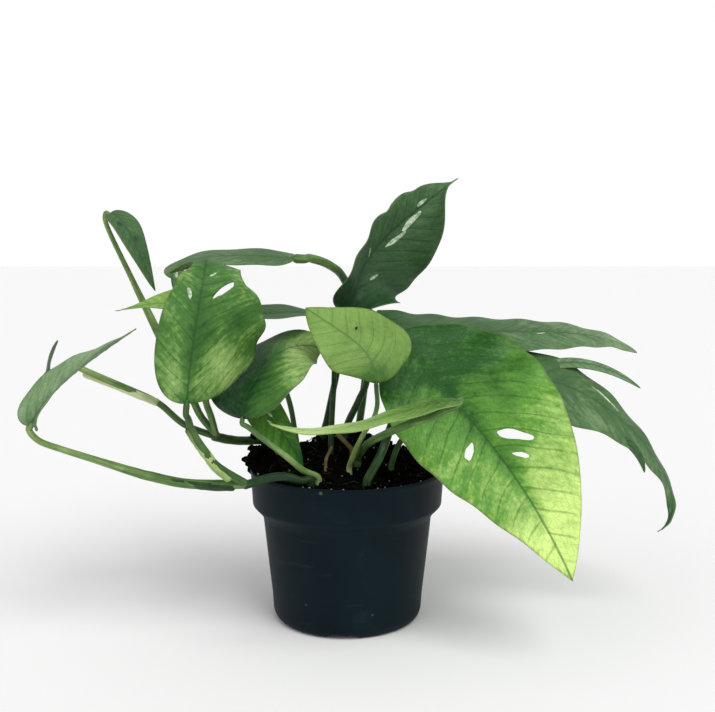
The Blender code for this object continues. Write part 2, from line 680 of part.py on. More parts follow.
make_pot()
feet = [make_petiole(name, spec) for name, spec in PETIOLES.items()]
feet += [make_runner(name, spec) for name, spec in RUNNERS.items()]
feet += [make_stub(name, spec) for name, spec in STUBS.items()]
make_soil(feet)
for leaf_name in LEAVES:
    make_blade(leaf_name)
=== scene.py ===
"""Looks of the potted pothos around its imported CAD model: blades with veins, splits and
mottling, channelled petioles, a scuffed nursery pot and crumbly soil.

Frame: metres, +Z up, origin at the centre of the pot's underside, front at -Y.
Plant points are in millimetres from the centre of the rim's top plane.
"""

import random
from math import cos, exp, hypot, pi, radians, sin, sqrt

import bmesh
import bpy
import numpy as np
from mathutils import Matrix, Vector, noise
from mathutils.geometry import delaunay_2d_cdt


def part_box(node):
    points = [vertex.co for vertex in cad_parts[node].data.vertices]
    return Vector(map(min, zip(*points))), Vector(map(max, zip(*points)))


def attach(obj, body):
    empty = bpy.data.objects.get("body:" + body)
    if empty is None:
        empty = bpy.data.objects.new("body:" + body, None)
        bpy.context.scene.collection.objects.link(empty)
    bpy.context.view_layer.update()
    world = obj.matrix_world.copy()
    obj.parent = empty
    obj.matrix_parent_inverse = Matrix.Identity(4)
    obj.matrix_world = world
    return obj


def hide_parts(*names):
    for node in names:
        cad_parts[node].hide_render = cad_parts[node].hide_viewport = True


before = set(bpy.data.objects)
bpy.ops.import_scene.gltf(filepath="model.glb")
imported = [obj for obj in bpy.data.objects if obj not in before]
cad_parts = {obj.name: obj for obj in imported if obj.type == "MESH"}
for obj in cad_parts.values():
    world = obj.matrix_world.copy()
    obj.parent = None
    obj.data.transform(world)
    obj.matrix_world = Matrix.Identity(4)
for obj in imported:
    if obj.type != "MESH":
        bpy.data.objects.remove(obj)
scene = bpy.context.scene
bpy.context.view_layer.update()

MM = 0.001
POT_LOW, POT_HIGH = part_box("pot")
RIM_HEIGHT = POT_HIGH.z
RIM_RADIUS = 0.5 * (POT_HIGH.x - POT_LOW.x)
BLADE_THICKNESS = 0.55 * MM

# Leaves: midrib control points, the way the blade faces at base and tip (azimuth and
# elevation, degrees), left and right half widths, outline powers, fold and cup (degrees,
# cup per 100 mm), vein spacing (mm), how far the veins slant and the colours' palette.
# tone: how light the blade is coloured at base and tip, from 0 to 1: partly the tissue's own colour,
# partly painted shade where a blade sits in shade.
# margin: (side, place, spread, amount mm) bumps and notches of the outline.
# patches: (place, offset mm, radius mm, strength) that make the blade lighter or darker: mottling, and on
# some leaves painted shadow and painted light.
# halo: how much darker the tissue is beside the midrib.
# holes and windows: (place, offset mm, half length, half width mm, turn degrees).
LEAVES = {
    "right_large": dict(
        midrib=((31, -6, 84), (58, -20, 45), (94, -56, 24), (122, -91, -42)),
        face=((-82, 48), (-93, 17)), width=(55, 43), shape=(0.64, 0.97), fold=9, cup=11,
        palette="bright", spacing=13, slant=0.55, tone=(0.12, 0.72), halo=0.3,
        patches=((0.26, 25, 30, -0.28), (0.1, -5, 25, -0.25), (0.22, -33, 16, -0.2),
                 (0.38, -20, 12, -0.12), (0.76, 27, 26, 0.25), (0.93, 4, 22, 0.4),
                 (0.56, 47, 14, 0.12), (0.5, -34, 18, 0.12), (0.6, 7, 14, -0.12)),
        holes=((0.585, 14.5, 10.5, 3, 45), (0.65, 10.5, 4.8, 1.5, 46),
               (0.555, -13.5, 6, 2.4, -48))),
    "centre": dict(
        midrib=((17, -48, 59), (16, -45, 80), (1, -37, 84), (-24, -25, 100)),
        face=((-84, 48), (-93, 54)), width=(22, 36), shape=(0.7, 0.84), fold=-8, cup=29,
        palette="lime", spacing=9, slant=0.6, tone=(0.35, 0.7),
        margin=((1, 0.12, 0.06, -3),),
        patches=((0.05, 0, 9, -0.45), (0.54, -16, 8, -0.12)),
        holes=((0.615, -9, 2, 0.8, -60),)),
    "left_large": dict(
        midrib=((-87, -70, 51), (-84, -71, 86), (-69, -85, 143), (-83, -23, 126)),
        face=((-56, 18), (-95, 87)), width=(20, 50), shape=(0.41, 1.08), fold=-15, cup=31,
        margin=((0, 0.96, 0.07, 22), (1, 0.93, 0.1, 11), (1, 0.71, 0.03, -2)),
        palette="mottled", spacing=9, slant=0.75, tone=(0.46, 0.5), halo=0.25,
        patches=((0.2, -18, 13, 0.35), (0.12, -33, 10, 0.3), (0.36, -36, 8, 0.12),
                 (0.1, 5, 12, 0.25), (0.64, 11, 10, 0.15), (0.35, -7, 8, -0.2),
                 (0.42, -26, 10, -0.2), (0.75, -25, 12, 0.15)),
        holes=((0.605, -13, 10, 1.8, -30),),
        windows=((0.53, 6, 4, 1.1, 15), (0.68, -5, 3.5, 0.7, -30))),
    "left_middle": dict(
        midrib=((-59, -50, 39), (-59, -49, 59), (-41, -17, 85), (-15, -9, 74)),
        face=((-131, 32), (-134, 41)), width=(40, 32), shape=(0.53, 0.66), fold=-2, cup=30,
        margin=((0, 0.85, 0.1, 3),),
        palette="mottled", spacing=9, slant=0.7, tone=(0.2, 0.5),
        # painted shadow: the dark patches on the left half stand for the shade that left_large casts on
        # this blade, and the lighter patches towards the tip and right half are painted light
        patches=((0.3, 20, 26, -0.5), (0.6, 22, 16, -0.35), (0.45, -24, 14, 0.35),
                 (0.8, 0, 15, 0.45), (0.7, -20, 14, 0.3), (0.15, -14, 12, 0.15))),
    "upright": dict(
        midrib=((5, 32, 92), (1, 37, 129), (32, 55, 149), (71, 42, 178)),
        face=((-95, -70), (-18, 46)), width=(25, 42), shape=(0.51, 0.9), fold=16, cup=3,
        margin=((1, 0.15, 0.08, 2), (0, 0.62, 0.03, -2), (0, 0.8, 0.03, -1.5)),
        palette="dark", spacing=11, slant=0.9, tone=(0.24, 0.68),
        patches=((0.05, 0, 20, -0.2),),
        windows=((0.70, -3.5, 8.5, 1.7, 8), (0.57, -6, 8.5, 1.5, -6), (0.80, 2, 3.5, 1.2, 0),
                 (0.39, 6, 4.5, 0.9, 60), (0.29, -12, 5, 1.1, -30))),
    "strap": dict(
        midrib=((18, 9, 93), (67, 26, 70), (152, 50, 91), (190, 46, 65)),
        face=((-92, 64), (-88, 74)), width=(26, 24), shape=(0.45, 0.76), fold=1, cup=50,
        margin=((0, 0.45, 0.15, -1.5),),
        # painted shade: the tone is low at the base, which sits in shade among the other blades, and
        # rises towards the tip
        palette="grey", spacing=10, slant=1, tone=(0.2, 0.85),
        windows=((0.585, -2.5, 3.5, 0.7, 20),)),
    "lobed": dict(
        midrib=((83, 4, 46), (144, 10, 85), (234, 9, -27), (193, -4, -41)),
        face=((-66, 31), (118, 80)), width=(22, 33), shape=(0.52, 2), fold=0, cup=19,
        margin=((0, 0.93, 0.06, 1), (1, 0.93, 0.06, 1)),
        palette="grey", spacing=11, slant=0.9, tone=(0.35, 0.6),
        patches=((0.36, -22, 20, 0.2),),
        holes=((0.525, -15, 5.5, 0.8, -20),),
        windows=((0.40, 9, 9, 0.9, -18),)),
    "far_left": dict(
        midrib=((-181, -45, 34), (-164, -61, 60), (-142, -59, 73), (-114, -67, 92)),
        face=((-45, 45), (-60, 87)), width=(20, 18), shape=(0.5, 1.16), fold=15, cup=19,
        margin=((1, 0.03, 0.05, -6),),
        palette="grey", spacing=8, slant=0.8, tone=(0.75, 1)),
    "far_left_small": dict(
        midrib=((-164, -22, 64), (-185, -16, 49), (-179, -21, 68), (-173, -13, 80)),
        face=((100, 86), (13, 11)), width=(9, 9), shape=(0.45, 0.84), fold=6, cup=21,
        palette="grey", spacing=6, slant=0.8, tone=(0.3, 0.3)),
    "hanging": dict(
        midrib=((-139, -15, 155), (-129, -18, 154), (-121, -31, 135), (-112, -23, 110)),
        face=((-49, 53), (-28, 11)), width=(10, 11), shape=(0.45, 0.89), fold=8, cup=20,
        palette="grey", spacing=6, slant=0.9, tone=(0.4, 0.45),
        patches=((0.33, -4, 1.8, -0.8), (0.53, 2, 1.5, -0.7))),
    "arching": dict(
        midrib=((-32, 12, 128), (-62, 15, 129), (-118, 6, 136), (-104, -5, 108)),
        face=((-92, 73), (-150, 73)), width=(17, 20), shape=(0.43, 0.76), fold=0, cup=26,
        margin=((1, 0.92, 0.08, -9),),
        palette="grey", spacing=8, slant=1, tone=(0.5, 0.6),
        windows=((0.85, 4, 4, 1.2, 0),)),
    "behind_left": dict(
        midrib=((-18, 14, 93), (-35, 6, 96), (-59, -4, 93), (-84, -10, 93)),
        face=((-90, 85), (-91, 74)), width=(17, 17), shape=(0.5, 1), fold=8, cup=20,
        margin=((1, 0.5, 0.12, 2),),
        palette="grey", spacing=8, slant=0.9, tone=(0.3, 0.35)),
    "pale_left": dict(
        midrib=((-78, -38, 91), (-96, -35, 109), (-108, -46, 104), (-130, -46, 100)),
        face=((-90, 65), (-90, 67)), width=(17, 17), shape=(0.5, 1.9), fold=12, cup=19,
        palette="pale", spacing=7, slant=0.9, tone=(0.3, 0.55)),
    "front_edge": dict(
        midrib=((61, -80, 55), (38, -94, 59), (-3, -85, 29), (-41, -80, 42)),
        face=((-91, 88), (-90, 90)), width=(16, 15), shape=(0.47, 0.86), fold=0, cup=20,
        palette="pale", spacing=8, slant=0.9, tone=(0, 1.1),
        patches=((0.85, 0, 16, 0.3), (0.32, 0, 12, -0.2))),
    "under": dict(
        midrib=((-49, -16, 49), (-53, -18, 35), (-35, -22, 26), (-26, -27, 6)),
        face=((-56, 40), (-48, 20)), width=(11, 16), shape=(0.44, 0.92), fold=5, cup=21,
        palette="bright", spacing=7, slant=0.8, tone=(0.5, 0.15),
        windows=((0.35, 0.5, 2.2, 0.8, 10), (0.43, -3, 2.2, 0.7, 20))),
}

# The lobed leaf's narrow fingers
LOBES = {
    "lobed": (
        dict(midrib=((120, 18, 58), (140, 22, 67), (168, 26, 60), (187, 24, 45)),
             face=((-80, 40), (-80, 50)), width=(3.5, 4.5), shape=(0.4, 0.7), fold=5, cup=20,
             palette="grey", spacing=6, slant=1.2, tone=(0.75, 0.7)),
        dict(midrib=((165, -2, 19), (174, -11, 18), (181, -9, 6), (182, -9, -2)),
             face=((-70, 30), (-60, 20)), width=(3, 3), shape=(0.4, 0.7), fold=5, cup=20,
             palette="grey", spacing=6, slant=1.2, tone=(0.2, 0.3)),
    ),
}

# Palettes: dark, middle and light tissue, veins, underside
PALETTES = {
    "bright": ("#1a5012", "#629a39", "#d6f48a", "#1c4d15", "#7f9f5a"),
    "lime": ("#3d6626", "#76994a", "#8fb45c", "#46702e", "#7d9658"),
    "pale": ("#3f6d27", "#90b85c", "#c2e08c", "#4f7a30", "#8da867"),
    "mottled": ("#103a18", "#4d7c37", "#bcdc84", "#274d1e", "#6f8a55"),
    "dark": ("#1a3c23", "#40633d", "#6a8c5a", "#1e3b25", "#5d7750"),
    "grey": ("#284a29", "#4c6f43", "#90ae80", "#335531", "#6f8a62"),
}
WINDOW_COLOUR = "#d3e0c8"
DARK_LEAVES = ("upright", "strap", "lobed", "under")
PALE_LEAVES = ("centre", "pale_left")

# Petioles, named as their leaves are: how far the top runs in line with the midrib, way
# points from the blade down, foot in the soil, radii (mm) and tones from blade to foot
PETIOLES = {
    "right_large": dict(
        reach=5, foot=(12, -45), radii=(2.2, 2.6),
        via=((26, -6, 89), (27, -6, 80), (30, -7, 62), (30, -16, 42), (24, -31, 25),
             (19, -39, 14)), tone=(0.3, 0.1, 0.05)),
    "centre": dict(
        reach=5, foot=(1.5, -18), radii=(1.2, 1.4, 2),
        via=((17.5, -49, 52), (17.5, -49, 46), (15.5, -44, 38), (11, -35, 29), (6, -28, 18),
             (3, -22, 9)), tone=(0.1, 0.1, 0.6, 0.75, 0.9)),
    "left_middle": dict(
        reach=3, foot=(-17, -37), radii=(1.2, 1.7, 2.3),
        via=((-56, -50, 34.5), (-48, -48, 27.5), (-35, -45, 16.5), (-25, -41, 7)),
        tone=(0.15, 0.4, 0.55, 0.9)),
    "upright": dict(
        reach=6, foot=(-15, 18), radii=(1.9, 2.2),
        via=((3, 31, 80), (-5, 28, 66), (-7, 24, 54), (-10, 20, 40), (-13, 18, 26)),
        tone=(0.1, 0.05, 0.05)),
    "arching": dict(
        reach=6, foot=(7, 36), radii=(2.9, 2.8, 2.5, 2.3),
        via=((-23, 18, 128), (-11, 30, 123), (-2, 45, 113), (9, 54, 84), (12, 50, 58),
             (10, 43, 36)), tone=(0.45, 0.4, 0.1)),
    "strap": dict(
        reach=6, foot=(-2, 12), radii=(2, 2.4),
        via=((9, 5, 92), (9, 4, 76), (12, 4, 54), (7, 6, 40), (1, 9, 27)),
        tone=(0.3, 0.1, 0.1)),
    "behind_left": dict(
        reach=4, foot=(-10, 3), radii=(1.6, 2),
        via=((-10, 14, 86), (-8, 10, 72), (-8, 6, 52), (-9, 4, 35)), tone=(0.2, 0.1, 0.1)),
    "front_edge": dict(
        reach=2, foot=(6.5, -8), radii=(1.4, 2.2, 2.4),
        via=((60, -77, 51), (53.5, -78, 49), (46, -77, 45), (35, -74, 41), (26, -64, 35),
             (18, -49, 28), (12, -30, 20), (8.5, -16, 12)), tone=(0.45, 0.4, 0.3)),
    "under": dict(
        reach=4, foot=(-30, 0), radii=(1.5, 1.8),
        via=((-44, -8, 59), (-40, -3, 54), (-35, 0, 38), (-32, 0, 20)), tone=(0.3, 0.2)),
    "lobed": dict(
        reach=6, foot=(27, -12), radii=(1.8, 2),
        via=((62, -2, 36), (46, -6, 28), (33, -9, 18)), tone=(0.3, 0.25)),
}

# Runners: a trunk from its outer end to its foot in the soil, and the petioles that leave it
RUNNERS = {
    "upper": dict(
        foot=(-44, 25), radius=2.9, tone=(0.15, 0.3, 0.3),
        trunk=((-82, -10, 21), (-72, 0, 16.5), (-62, 12, 13.5), (-54, 20, 12.5), (-48, 24, 12)),
        petioles=("pale_left", "hanging", "far_left_small")),
    "lower": dict(
        # painted shade: the trunk's tone runs below the darkest stem colour, for the shade it lies in
        # where it crosses the front rim
        foot=(-21, -43.5), radius=2.6, tone=(0.1, -0.3, -0.3),
        trunk=((-60, -45.5, -1), (-50, -46, 2.2), (-41, -45, 4.2), (-33, -45.5, 4), (-26, -45, 1.6)),
        petioles=("left_large", "far_left")),
}

# Petioles that leave a runner, named as their leaves are, from the blade to the runner's end;
# sheath: the route of a papery sheath that clasps the petiole
RUNNER_PETIOLES = {
    "pale_left": dict(
        reach=5, radii=(1.6, 2, 2.2, 2.3),
        via=((-77, -37, 78), (-82, -32, 62), (-83, -26, 46), (-81, -18, 34)), tone=(0.5, 0.4, 0.4)),
    "hanging": dict(
        reach=3, radii=(1.1, 1.2, 1.3, 1.5, 1.8, 3, 2.4, 2.2, 2.2),
        via=((-141, -14, 147), (-129, -10, 118), (-119, -8, 95), (-110, -8, 76), (-94, -11, 45),
             (-88, -12, 33)), tone=(0.5, 0.55, 0.35)),
    "far_left_small": dict(
        reach=3, radii=(1.4, 1.6, 2, 2.2, 2, 2.3),
        via=((-157, -26, 65), (-145, -24, 59), (-129, -20, 51), (-113, -15, 42), (-98, -11, 28)),
        tone=(0.6, 0.7, 0.4, 0.15),
        sheath=((-156, -22, 61), (-147, -22, 58), (-135, -20, 53), (-124, -18, 48), (-113, -15, 43))),
    "left_large": dict(
        reach=6, radii=(1.5, 1.7, 2, 2.4, 2.6),
        via=((-87, -66, 42), (-85.5, -62, 34), (-80, -58, 23), (-73, -53, 12)),
        tone=(0.15, 0.2, 0.25, 0.2), sheath_tone=(0.4, 0.8, 0.7),
        sheath=((-88, -63, 36), (-85, -60, 30), (-80, -57, 22), (-74, -53, 12), (-66, -49, 4))),
    "far_left": dict(
        reach=3, radii=(1.6, 1.8, 1.9, 1.9, 1.9, 2.8, 2.9, 2.8),
        via=((-180, -45, 28.5), (-175, -45, 24.5), (-164, -45, 20.5), (-144, -45, 14), (-122, -45, 7),
             (-113, -45, 4.5), (-90, -45, 0)), tone=(0.5, 0.6, 0.6, 0.45, 0.4),
        # painted shade: the sheath darkens towards the rim, for the same shade
        sheath_tone=(0.25, 0.05, 0.05),
        sheath=((-118, -45, 5.6), (-105, -45, 2.8), (-90, -45, 0.3), (-76, -45.5, -1), (-64, -45.5, -1))),
}

# Dead stalks, from the broken end down
STUBS = {
    "long": dict(via=((-6.5, -1, 21), (-1.5, -1, 15.5)), foot=(3, -1), radii=(1.5, 1.8)),
    "short": dict(via=((-9, -12, 15), (-12, -12, 9)), foot=(-13, -12), radii=(0.9, 1.3)),
}
STEM_COLOURS = ("#1d3a1b", "#52743c", "#9ab36c", "#d6dcb0")
DRY_STEM_COLOURS = ("#3a2d1e", "#6b5a40", "#a8966c", "#c9bb95")
SHEATH_TONE = (1.2, 1.1, 0.8)
SHEATH_RADII = (2, 2.9, 3)


# Small helpers

def linear(code):
    """Scene-linear colour from a hexadecimal sRGB code."""
    values = [int(code[start:start + 2], 16) / 255 for start in (1, 3, 5)]
    return [v / 12.92 if v < 0.04045 else ((v + 0.055) / 1.055) ** 2.4 for v in values] + [1]


def direction(azimuth, elevation):
    azimuth, elevation = radians(azimuth), radians(elevation)
    flat = cos(elevation)
    return Vector((flat * cos(azimuth), flat * sin(azimuth), sin(elevation)))


def plant_point(point):
    return Vector(point) * MM + Vector((0, 0, RIM_HEIGHT))


def polar(radius, angle):
    return radius * cos(angle), radius * sin(angle)


def show(piece, slot, *nodes):
    """Place a finished piece on the root body, in place of the CAD nodes it stands for."""
    scene.collection.objects.link(piece)
    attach(piece, "root")
    if nodes:
        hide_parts(*nodes)


def smooth(mesh, angle):
    mesh.shade_smooth()
    mesh.set_sharp_from_angle(angle=radians(angle))


def show_shape(name, shape, material, angle, slot, *nodes):
    """Turn a bmesh into a piece with one material, and place it."""
    bmesh.ops.recalc_face_normals(shape, faces=shape.faces)
    mesh = bpy.data.meshes.new(name)
    shape.to_mesh(mesh)
    shape.free()
    mesh.materials.append(material)
    smooth(mesh, angle)
    show(bpy.data.objects.new(name, mesh), slot, *nodes)


def bridge(shape, inner, outer):
    """Faces between two rings that have as many corners."""
    for step, corner in enumerate(inner):
        after = (step + 1) % len(inner)
        shape.faces.new((corner, outer[step], outer[after], inner[after]))


def wobble(point, scale, seed=0):
    """Smooth noise from -1 to 1 at a point in metres, for features of a size in metres."""
    return noise.noise(Vector(point) / scale + Vector((seed, 2.3 * seed, -seed)))


# Material helpers

def new_material(name):
    material = bpy.data.materials.new(name)
    material.use_nodes = True
    shader = material.node_tree.nodes["Principled BSDF"]
    return material, material.node_tree, shader


def feed(tree, socket, value):
    """Link a value to an input, or set it there; a text is a colour's code."""
    if isinstance(value, bpy.types.NodeSocket):
        tree.links.new(value, socket)
    else:
        socket.default_value = linear(value) if isinstance(value, str) else value


def add(tree, kind, inputs=None, **settings):
    """Add a shader node, set its properties, and set or link its inputs."""
    item = tree.nodes.new("ShaderNode" + kind)
    for key, value in settings.items():
        setattr(item, key, value)
    for key, value in (inputs or {}).items():
        feed(tree, item.inputs[key], value)
    return item


def maths(tree, operation, first, second=0, third=0):
    return add(tree, "Math", {0: first, 1: second, 2: third}, operation=operation).outputs[0]


def scaled(tree, value, factor, offset=0):
    return maths(tree, "MULTIPLY_ADD", value, factor, offset)


def vary(tree, value, pattern, amount):
    """A value pushed up and down by a pattern whose middle is 0.5."""
    return scaled(tree, maths(tree, "SUBTRACT", pattern, 0.5), amount, value)


def vector(tree, operation, first, second):
    return add(tree, "VectorMath", {0: first, 1: second}, operation=operation).outputs[0]


def remap(tree, value, low, high, out_low=0, out_high=1):
    """A value eased from one range to another and held at its ends."""
    return add(tree, "MapRange", {0: value, 1: low, 2: high, 3: out_low, 4: out_high},
               interpolation_type="SMOOTHSTEP").outputs[0]


def blend(tree, factor, first, second):
    """Mix two colours."""
    mix = add(tree, "Mix", data_type="RGBA")
    for index, value in ((0, factor), (6, first), (7, second)):
        feed(tree, mix.inputs[index], value)
    return mix.outputs[2]


def ramp(tree, value, stops):
    """A colour ramp with (position, colour code) stops."""
    item = add(tree, "ValToRGB", {0: value})
    elements = item.color_ramp.elements
    stops = list(stops)
    while len(elements) < len(stops):
        elements.new(0.5)
    for element, (position, colour) in zip(elements, stops):
        element.position = position
        element.color = linear(colour)
    return item.outputs[0]


def speckle(tree, place, scale, detail, kind="Fac"):
    noise_inputs = {"Vector": place, "Scale": scale, "Detail": detail}
    return add(tree, "TexNoise", noise_inputs).outputs[kind]


def cells(tree, place, scale, **settings):
    cell_inputs = {"Vector": place, "Scale": scale}
    return add(tree, "TexVoronoi", cell_inputs, **settings).outputs["Distance"]


def bump(tree, shader, height, distance, strength):
    item = add(tree, "Bump", {"Height": height, "Distance": distance, "Strength": strength})
    tree.links.new(item.outputs["Normal"], shader.inputs["Normal"])


def coat(tree, shader, colour, roughness, specular=0.5):
    """Give a shader its colour, roughness and reflection."""
    feed(tree, shader.inputs["Base Color"], colour)
    feed(tree, shader.inputs["Roughness"], roughness)
    shader.inputs["Specular IOR Level"].default_value = specular


# Leaf blades

MARGIN_FADE_BASE = 0.03
MARGIN_FADE_TIP = 0.06
# Relief, in mm for veins 12 mm apart and a blade 45 mm wide on one side
VEIN_PUFF = 0.32
MIDRIB_GROOVE = 0.45
MARGIN_WAVE = 1.1
WAVE_LENGTH = 27 * MM
ROLL_LENGTH = 30 * MM
# Size of a blade's mesh cells, by half width (mm)
LARGE_HALF_WIDTH = 30
LARGE_CELL = 1.9 * MM
SMALL_CELL = 1.5 * MM
LOBE_CELL = 1.2 * MM
ROW_SHARE = 0.87  # height of a triangle's row, as a share of its side
VEIN_STRENGTH = 0.75


def midrib_frames(leaf, places):
    """Points, leftward and upward directions at places from 0 (base) to 1 (tip)."""
    p0, p1, p2, p3 = [np.array(plant_point(point)) for point in leaf["midrib"]]
    t = np.asarray(places, float)[:, None]
    rest = 1 - t
    point = rest ** 3 * p0 + 3 * rest ** 2 * t * p1 + 3 * rest * t ** 2 * p2 + t ** 3 * p3
    tangent = rest ** 2 * (p1 - p0) + 2 * rest * t * (p2 - p1) + t ** 2 * (p3 - p2)
    tangent /= np.linalg.norm(tangent, axis=1, keepdims=True)
    start, end = (np.array(direction(*facing)) for facing in leaf["face"])
    left = np.cross((1 - t) * start + t * end, tangent)
    left /= np.linalg.norm(left, axis=1, keepdims=True)
    return point, left, np.cross(tangent, left), tangent


def blade_points(leaf, places, offsets, lifts):
    """Points of the bent blade: offset to the left (+) or right (-), lifted off the sheet."""
    point, left, up, _ = midrib_frames(leaf, places)
    reach = np.abs(offsets)
    fold = radians(leaf["fold"])
    bend = radians(leaf["cup"]) / (100 * MM)
    turn = fold - bend * reach
    aside = (sin(fold) - np.sin(turn)) / bend * np.sign(offsets)
    rise = (np.cos(turn) - cos(fold)) / bend
    normal_aside = -np.sin(turn) * np.sign(offsets)
    point = point + left * aside[:, None] + up * rise[:, None]
    return point + lifts[:, None] * (left * normal_aside[:, None] + up * np.cos(turn)[:, None])


def half_width(leaf, places, side):
    low, high = leaf["shape"]
    widest = low / (low + high)
    peak = widest ** low * (1 - widest) ** high
    places = np.clip(places, 0, 1)
    width = leaf["width"][side] * MM * places ** low * (1 - places) ** high / peak
    fade = np.clip(np.minimum(places / MARGIN_FADE_BASE, (1 - places) / MARGIN_FADE_TIP), 0, 1)
    for margin_side, place, spread, amount in leaf.get("margin", ()):
        if margin_side == side:
            width = width + fade * amount * MM * np.exp(-((places - place) / spread) ** 2)
    return np.maximum(width, 0)


def share_across(leaf, flat, length, least):
    """The half width at flat points, and how far out they are, from 0 (midrib) to 1 (edge)."""
    place = flat[:, 0] / length
    half = np.where(flat[:, 1] > 0, half_width(leaf, place, 0), half_width(leaf, place, 1))
    return half, np.clip(np.abs(flat[:, 1]) / np.maximum(half, least), 0, 1)


def midrib_length(leaf):
    points = midrib_frames(leaf, np.linspace(0, 1, 60))[0]
    return float(np.linalg.norm(np.diff(points, axis=0), axis=1).sum())


def inside(points, loop):
    """Whether flat points lie inside a closed loop."""
    x, y = points[:, :1], points[:, 1:]
    x0, y0 = loop[:, 0], loop[:, 1]
    x1, y1 = np.roll(x0, -1), np.roll(y0, -1)
    spans = (y0 > y) != (y1 > y)
    rise = np.where(y1 == y0, 1, y1 - y0)
    return (spans & (x < x0 + (y - y0) * (x1 - x0) / rise)).sum(1) % 2 == 1


def ellipse(length, spec, cell):
    """A slightly uneven loop round a hole or a window in the flat blade."""
    place, offset, half_long, half_wide, turn = spec
    count = max(10, int(2.4 * half_long * MM / cell) * 2)
    angle = np.linspace(0, 2 * pi, count, endpoint=False)
    uneven = 1 + 0.10 * np.sin(3 * angle + offset) + 0.06 * np.sin(5 * angle + 9 * place)
    along, across = half_long * np.cos(angle) * uneven, half_wide * np.sin(angle) * uneven
    turn = radians(turn)
    return np.stack([place * length + (along * cos(turn) - across * sin(turn)) * MM,
                     offset * MM + (along * sin(turn) + across * cos(turn)) * MM], 1)


def flat_blade(leaf, cell):
    """Loops, midrib and inner points of the blade laid flat: along the midrib, across it."""
    length = midrib_length(leaf)
    stations = max(24, int(1.2 * length / cell))
    places = 0.5 - 0.5 * np.cos(np.pi * np.arange(stations + 1) / stations)
    left = np.stack([places * length, half_width(leaf, places, 0)], 1)
    right = np.stack([places * length, -half_width(leaf, places, 1)], 1)[1:-1]
    loops = [np.concatenate([left, right[::-1]])]
    holes = [ellipse(length, spec, cell) for spec in leaf.get("holes", ())]
    windows = [ellipse(length, spec, cell) for spec in leaf.get("windows", ())]
    loops += holes + windows
    reach = max(leaf["width"]) * 1.3 * MM
    rows = int(reach / (ROW_SHARE * cell)) + 1
    columns = int(length / cell) + 1
    spots = np.array([((column + 0.5 * (row % 2)) * cell, row * ROW_SHARE * cell)
                      for row in range(-rows, rows + 1) if row for column in range(columns)])
    spots = spots[inside(spots, loops[0])]
    gaps = np.linalg.norm(spots[:, None, :] - np.concatenate(loops)[None, :, :], axis=2).min(1)
    spots = spots[gaps > 0.5 * cell]
    rib = np.array([(step * cell, 0) for step in range(1, int(length / cell))])
    if len(loops) > 1:
        others = np.concatenate(loops[1:])
        rib = rib[np.linalg.norm(rib[:, None] - others[None], axis=2).min(1) > 0.4 * cell]
    return length, loops, holes, windows, stations, rib, spots


def vein_phase(leaf, flat):
    """Which lateral vein a flat point is on: whole numbers lie on veins."""
    x, y = flat[:, 0] / MM, flat[:, 1] / MM
    reach = np.abs(y)
    bow = leaf["slant"] * reach + 0.006 * reach ** 2
    drift = np.array([noise.noise((a / 22, b / 22, leaf["spacing"])) for a, b in zip(x, y)])
    return (x - bow) / leaf["spacing"] + 0.22 * drift + np.where(y < 0, 0.5, 0)


def relief(leaf, flat, length):
    """Height off the sheet: veins pressed in, tissue puffed between them, wavy margins."""
    place = np.clip(flat[:, 0] / length, 0, 1)
    half, share = share_across(leaf, flat, length, 2 * MM)
    phase = vein_phase(leaf, flat)
    beside = np.abs(phase - np.round(phase))
    fine = leaf["spacing"] / 12
    puff = VEIN_PUFF * fine * (1 - np.exp(-(beside / 0.16) ** 2)) * (1 - share ** 3)
    groove = MIDRIB_GROOVE * fine * np.exp(-(flat[:, 1] / (1.6 * MM)) ** 2) * (1 - place)
    waves = flat[:, 0] / WAVE_LENGTH + 0.5 * np.sign(flat[:, 1])
    edge = share ** 3 * np.sin(2 * pi * waves)
    roll = np.array([noise.noise((a / ROLL_LENGTH, b / ROLL_LENGTH, 7.1)) for a, b in flat])
    size = max(leaf["width"]) / 45 * np.minimum(half / (12 * MM), 1)
    return (puff - groove + MARGIN_WAVE * size * edge + size * roll * share) * MM


def tone_of(leaf, flat, length):
    """How light the blade is coloured at flat points, from 0 to 1, with the painted shade and painted
    light of the tone and patches included.
    """
    place = flat[:, 0] / length
    start, end = leaf["tone"]
    tone = start + (end - start) * place
    halo = np.exp(-(flat[:, 1] / (5 * MM)) ** 2) * np.clip(1.1 - place, 0, 1) ** 0.5
    tone = tone - leaf.get("halo", 0.1) * halo
    for spot, offset, radius, strength in leaf.get("patches", ()):
        gap = (flat[:, 0] - spot * length) ** 2 + (flat[:, 1] - offset * MM) ** 2
        tone = tone + strength * np.exp(-gap / (radius * MM) ** 2)
    return np.clip(tone, 0, 1)


def point_values(mesh, name, values):
    layer = mesh.attributes.new(name, "FLOAT", "POINT")
    layer.data.foreach_set("value", values.astype(np.float32))


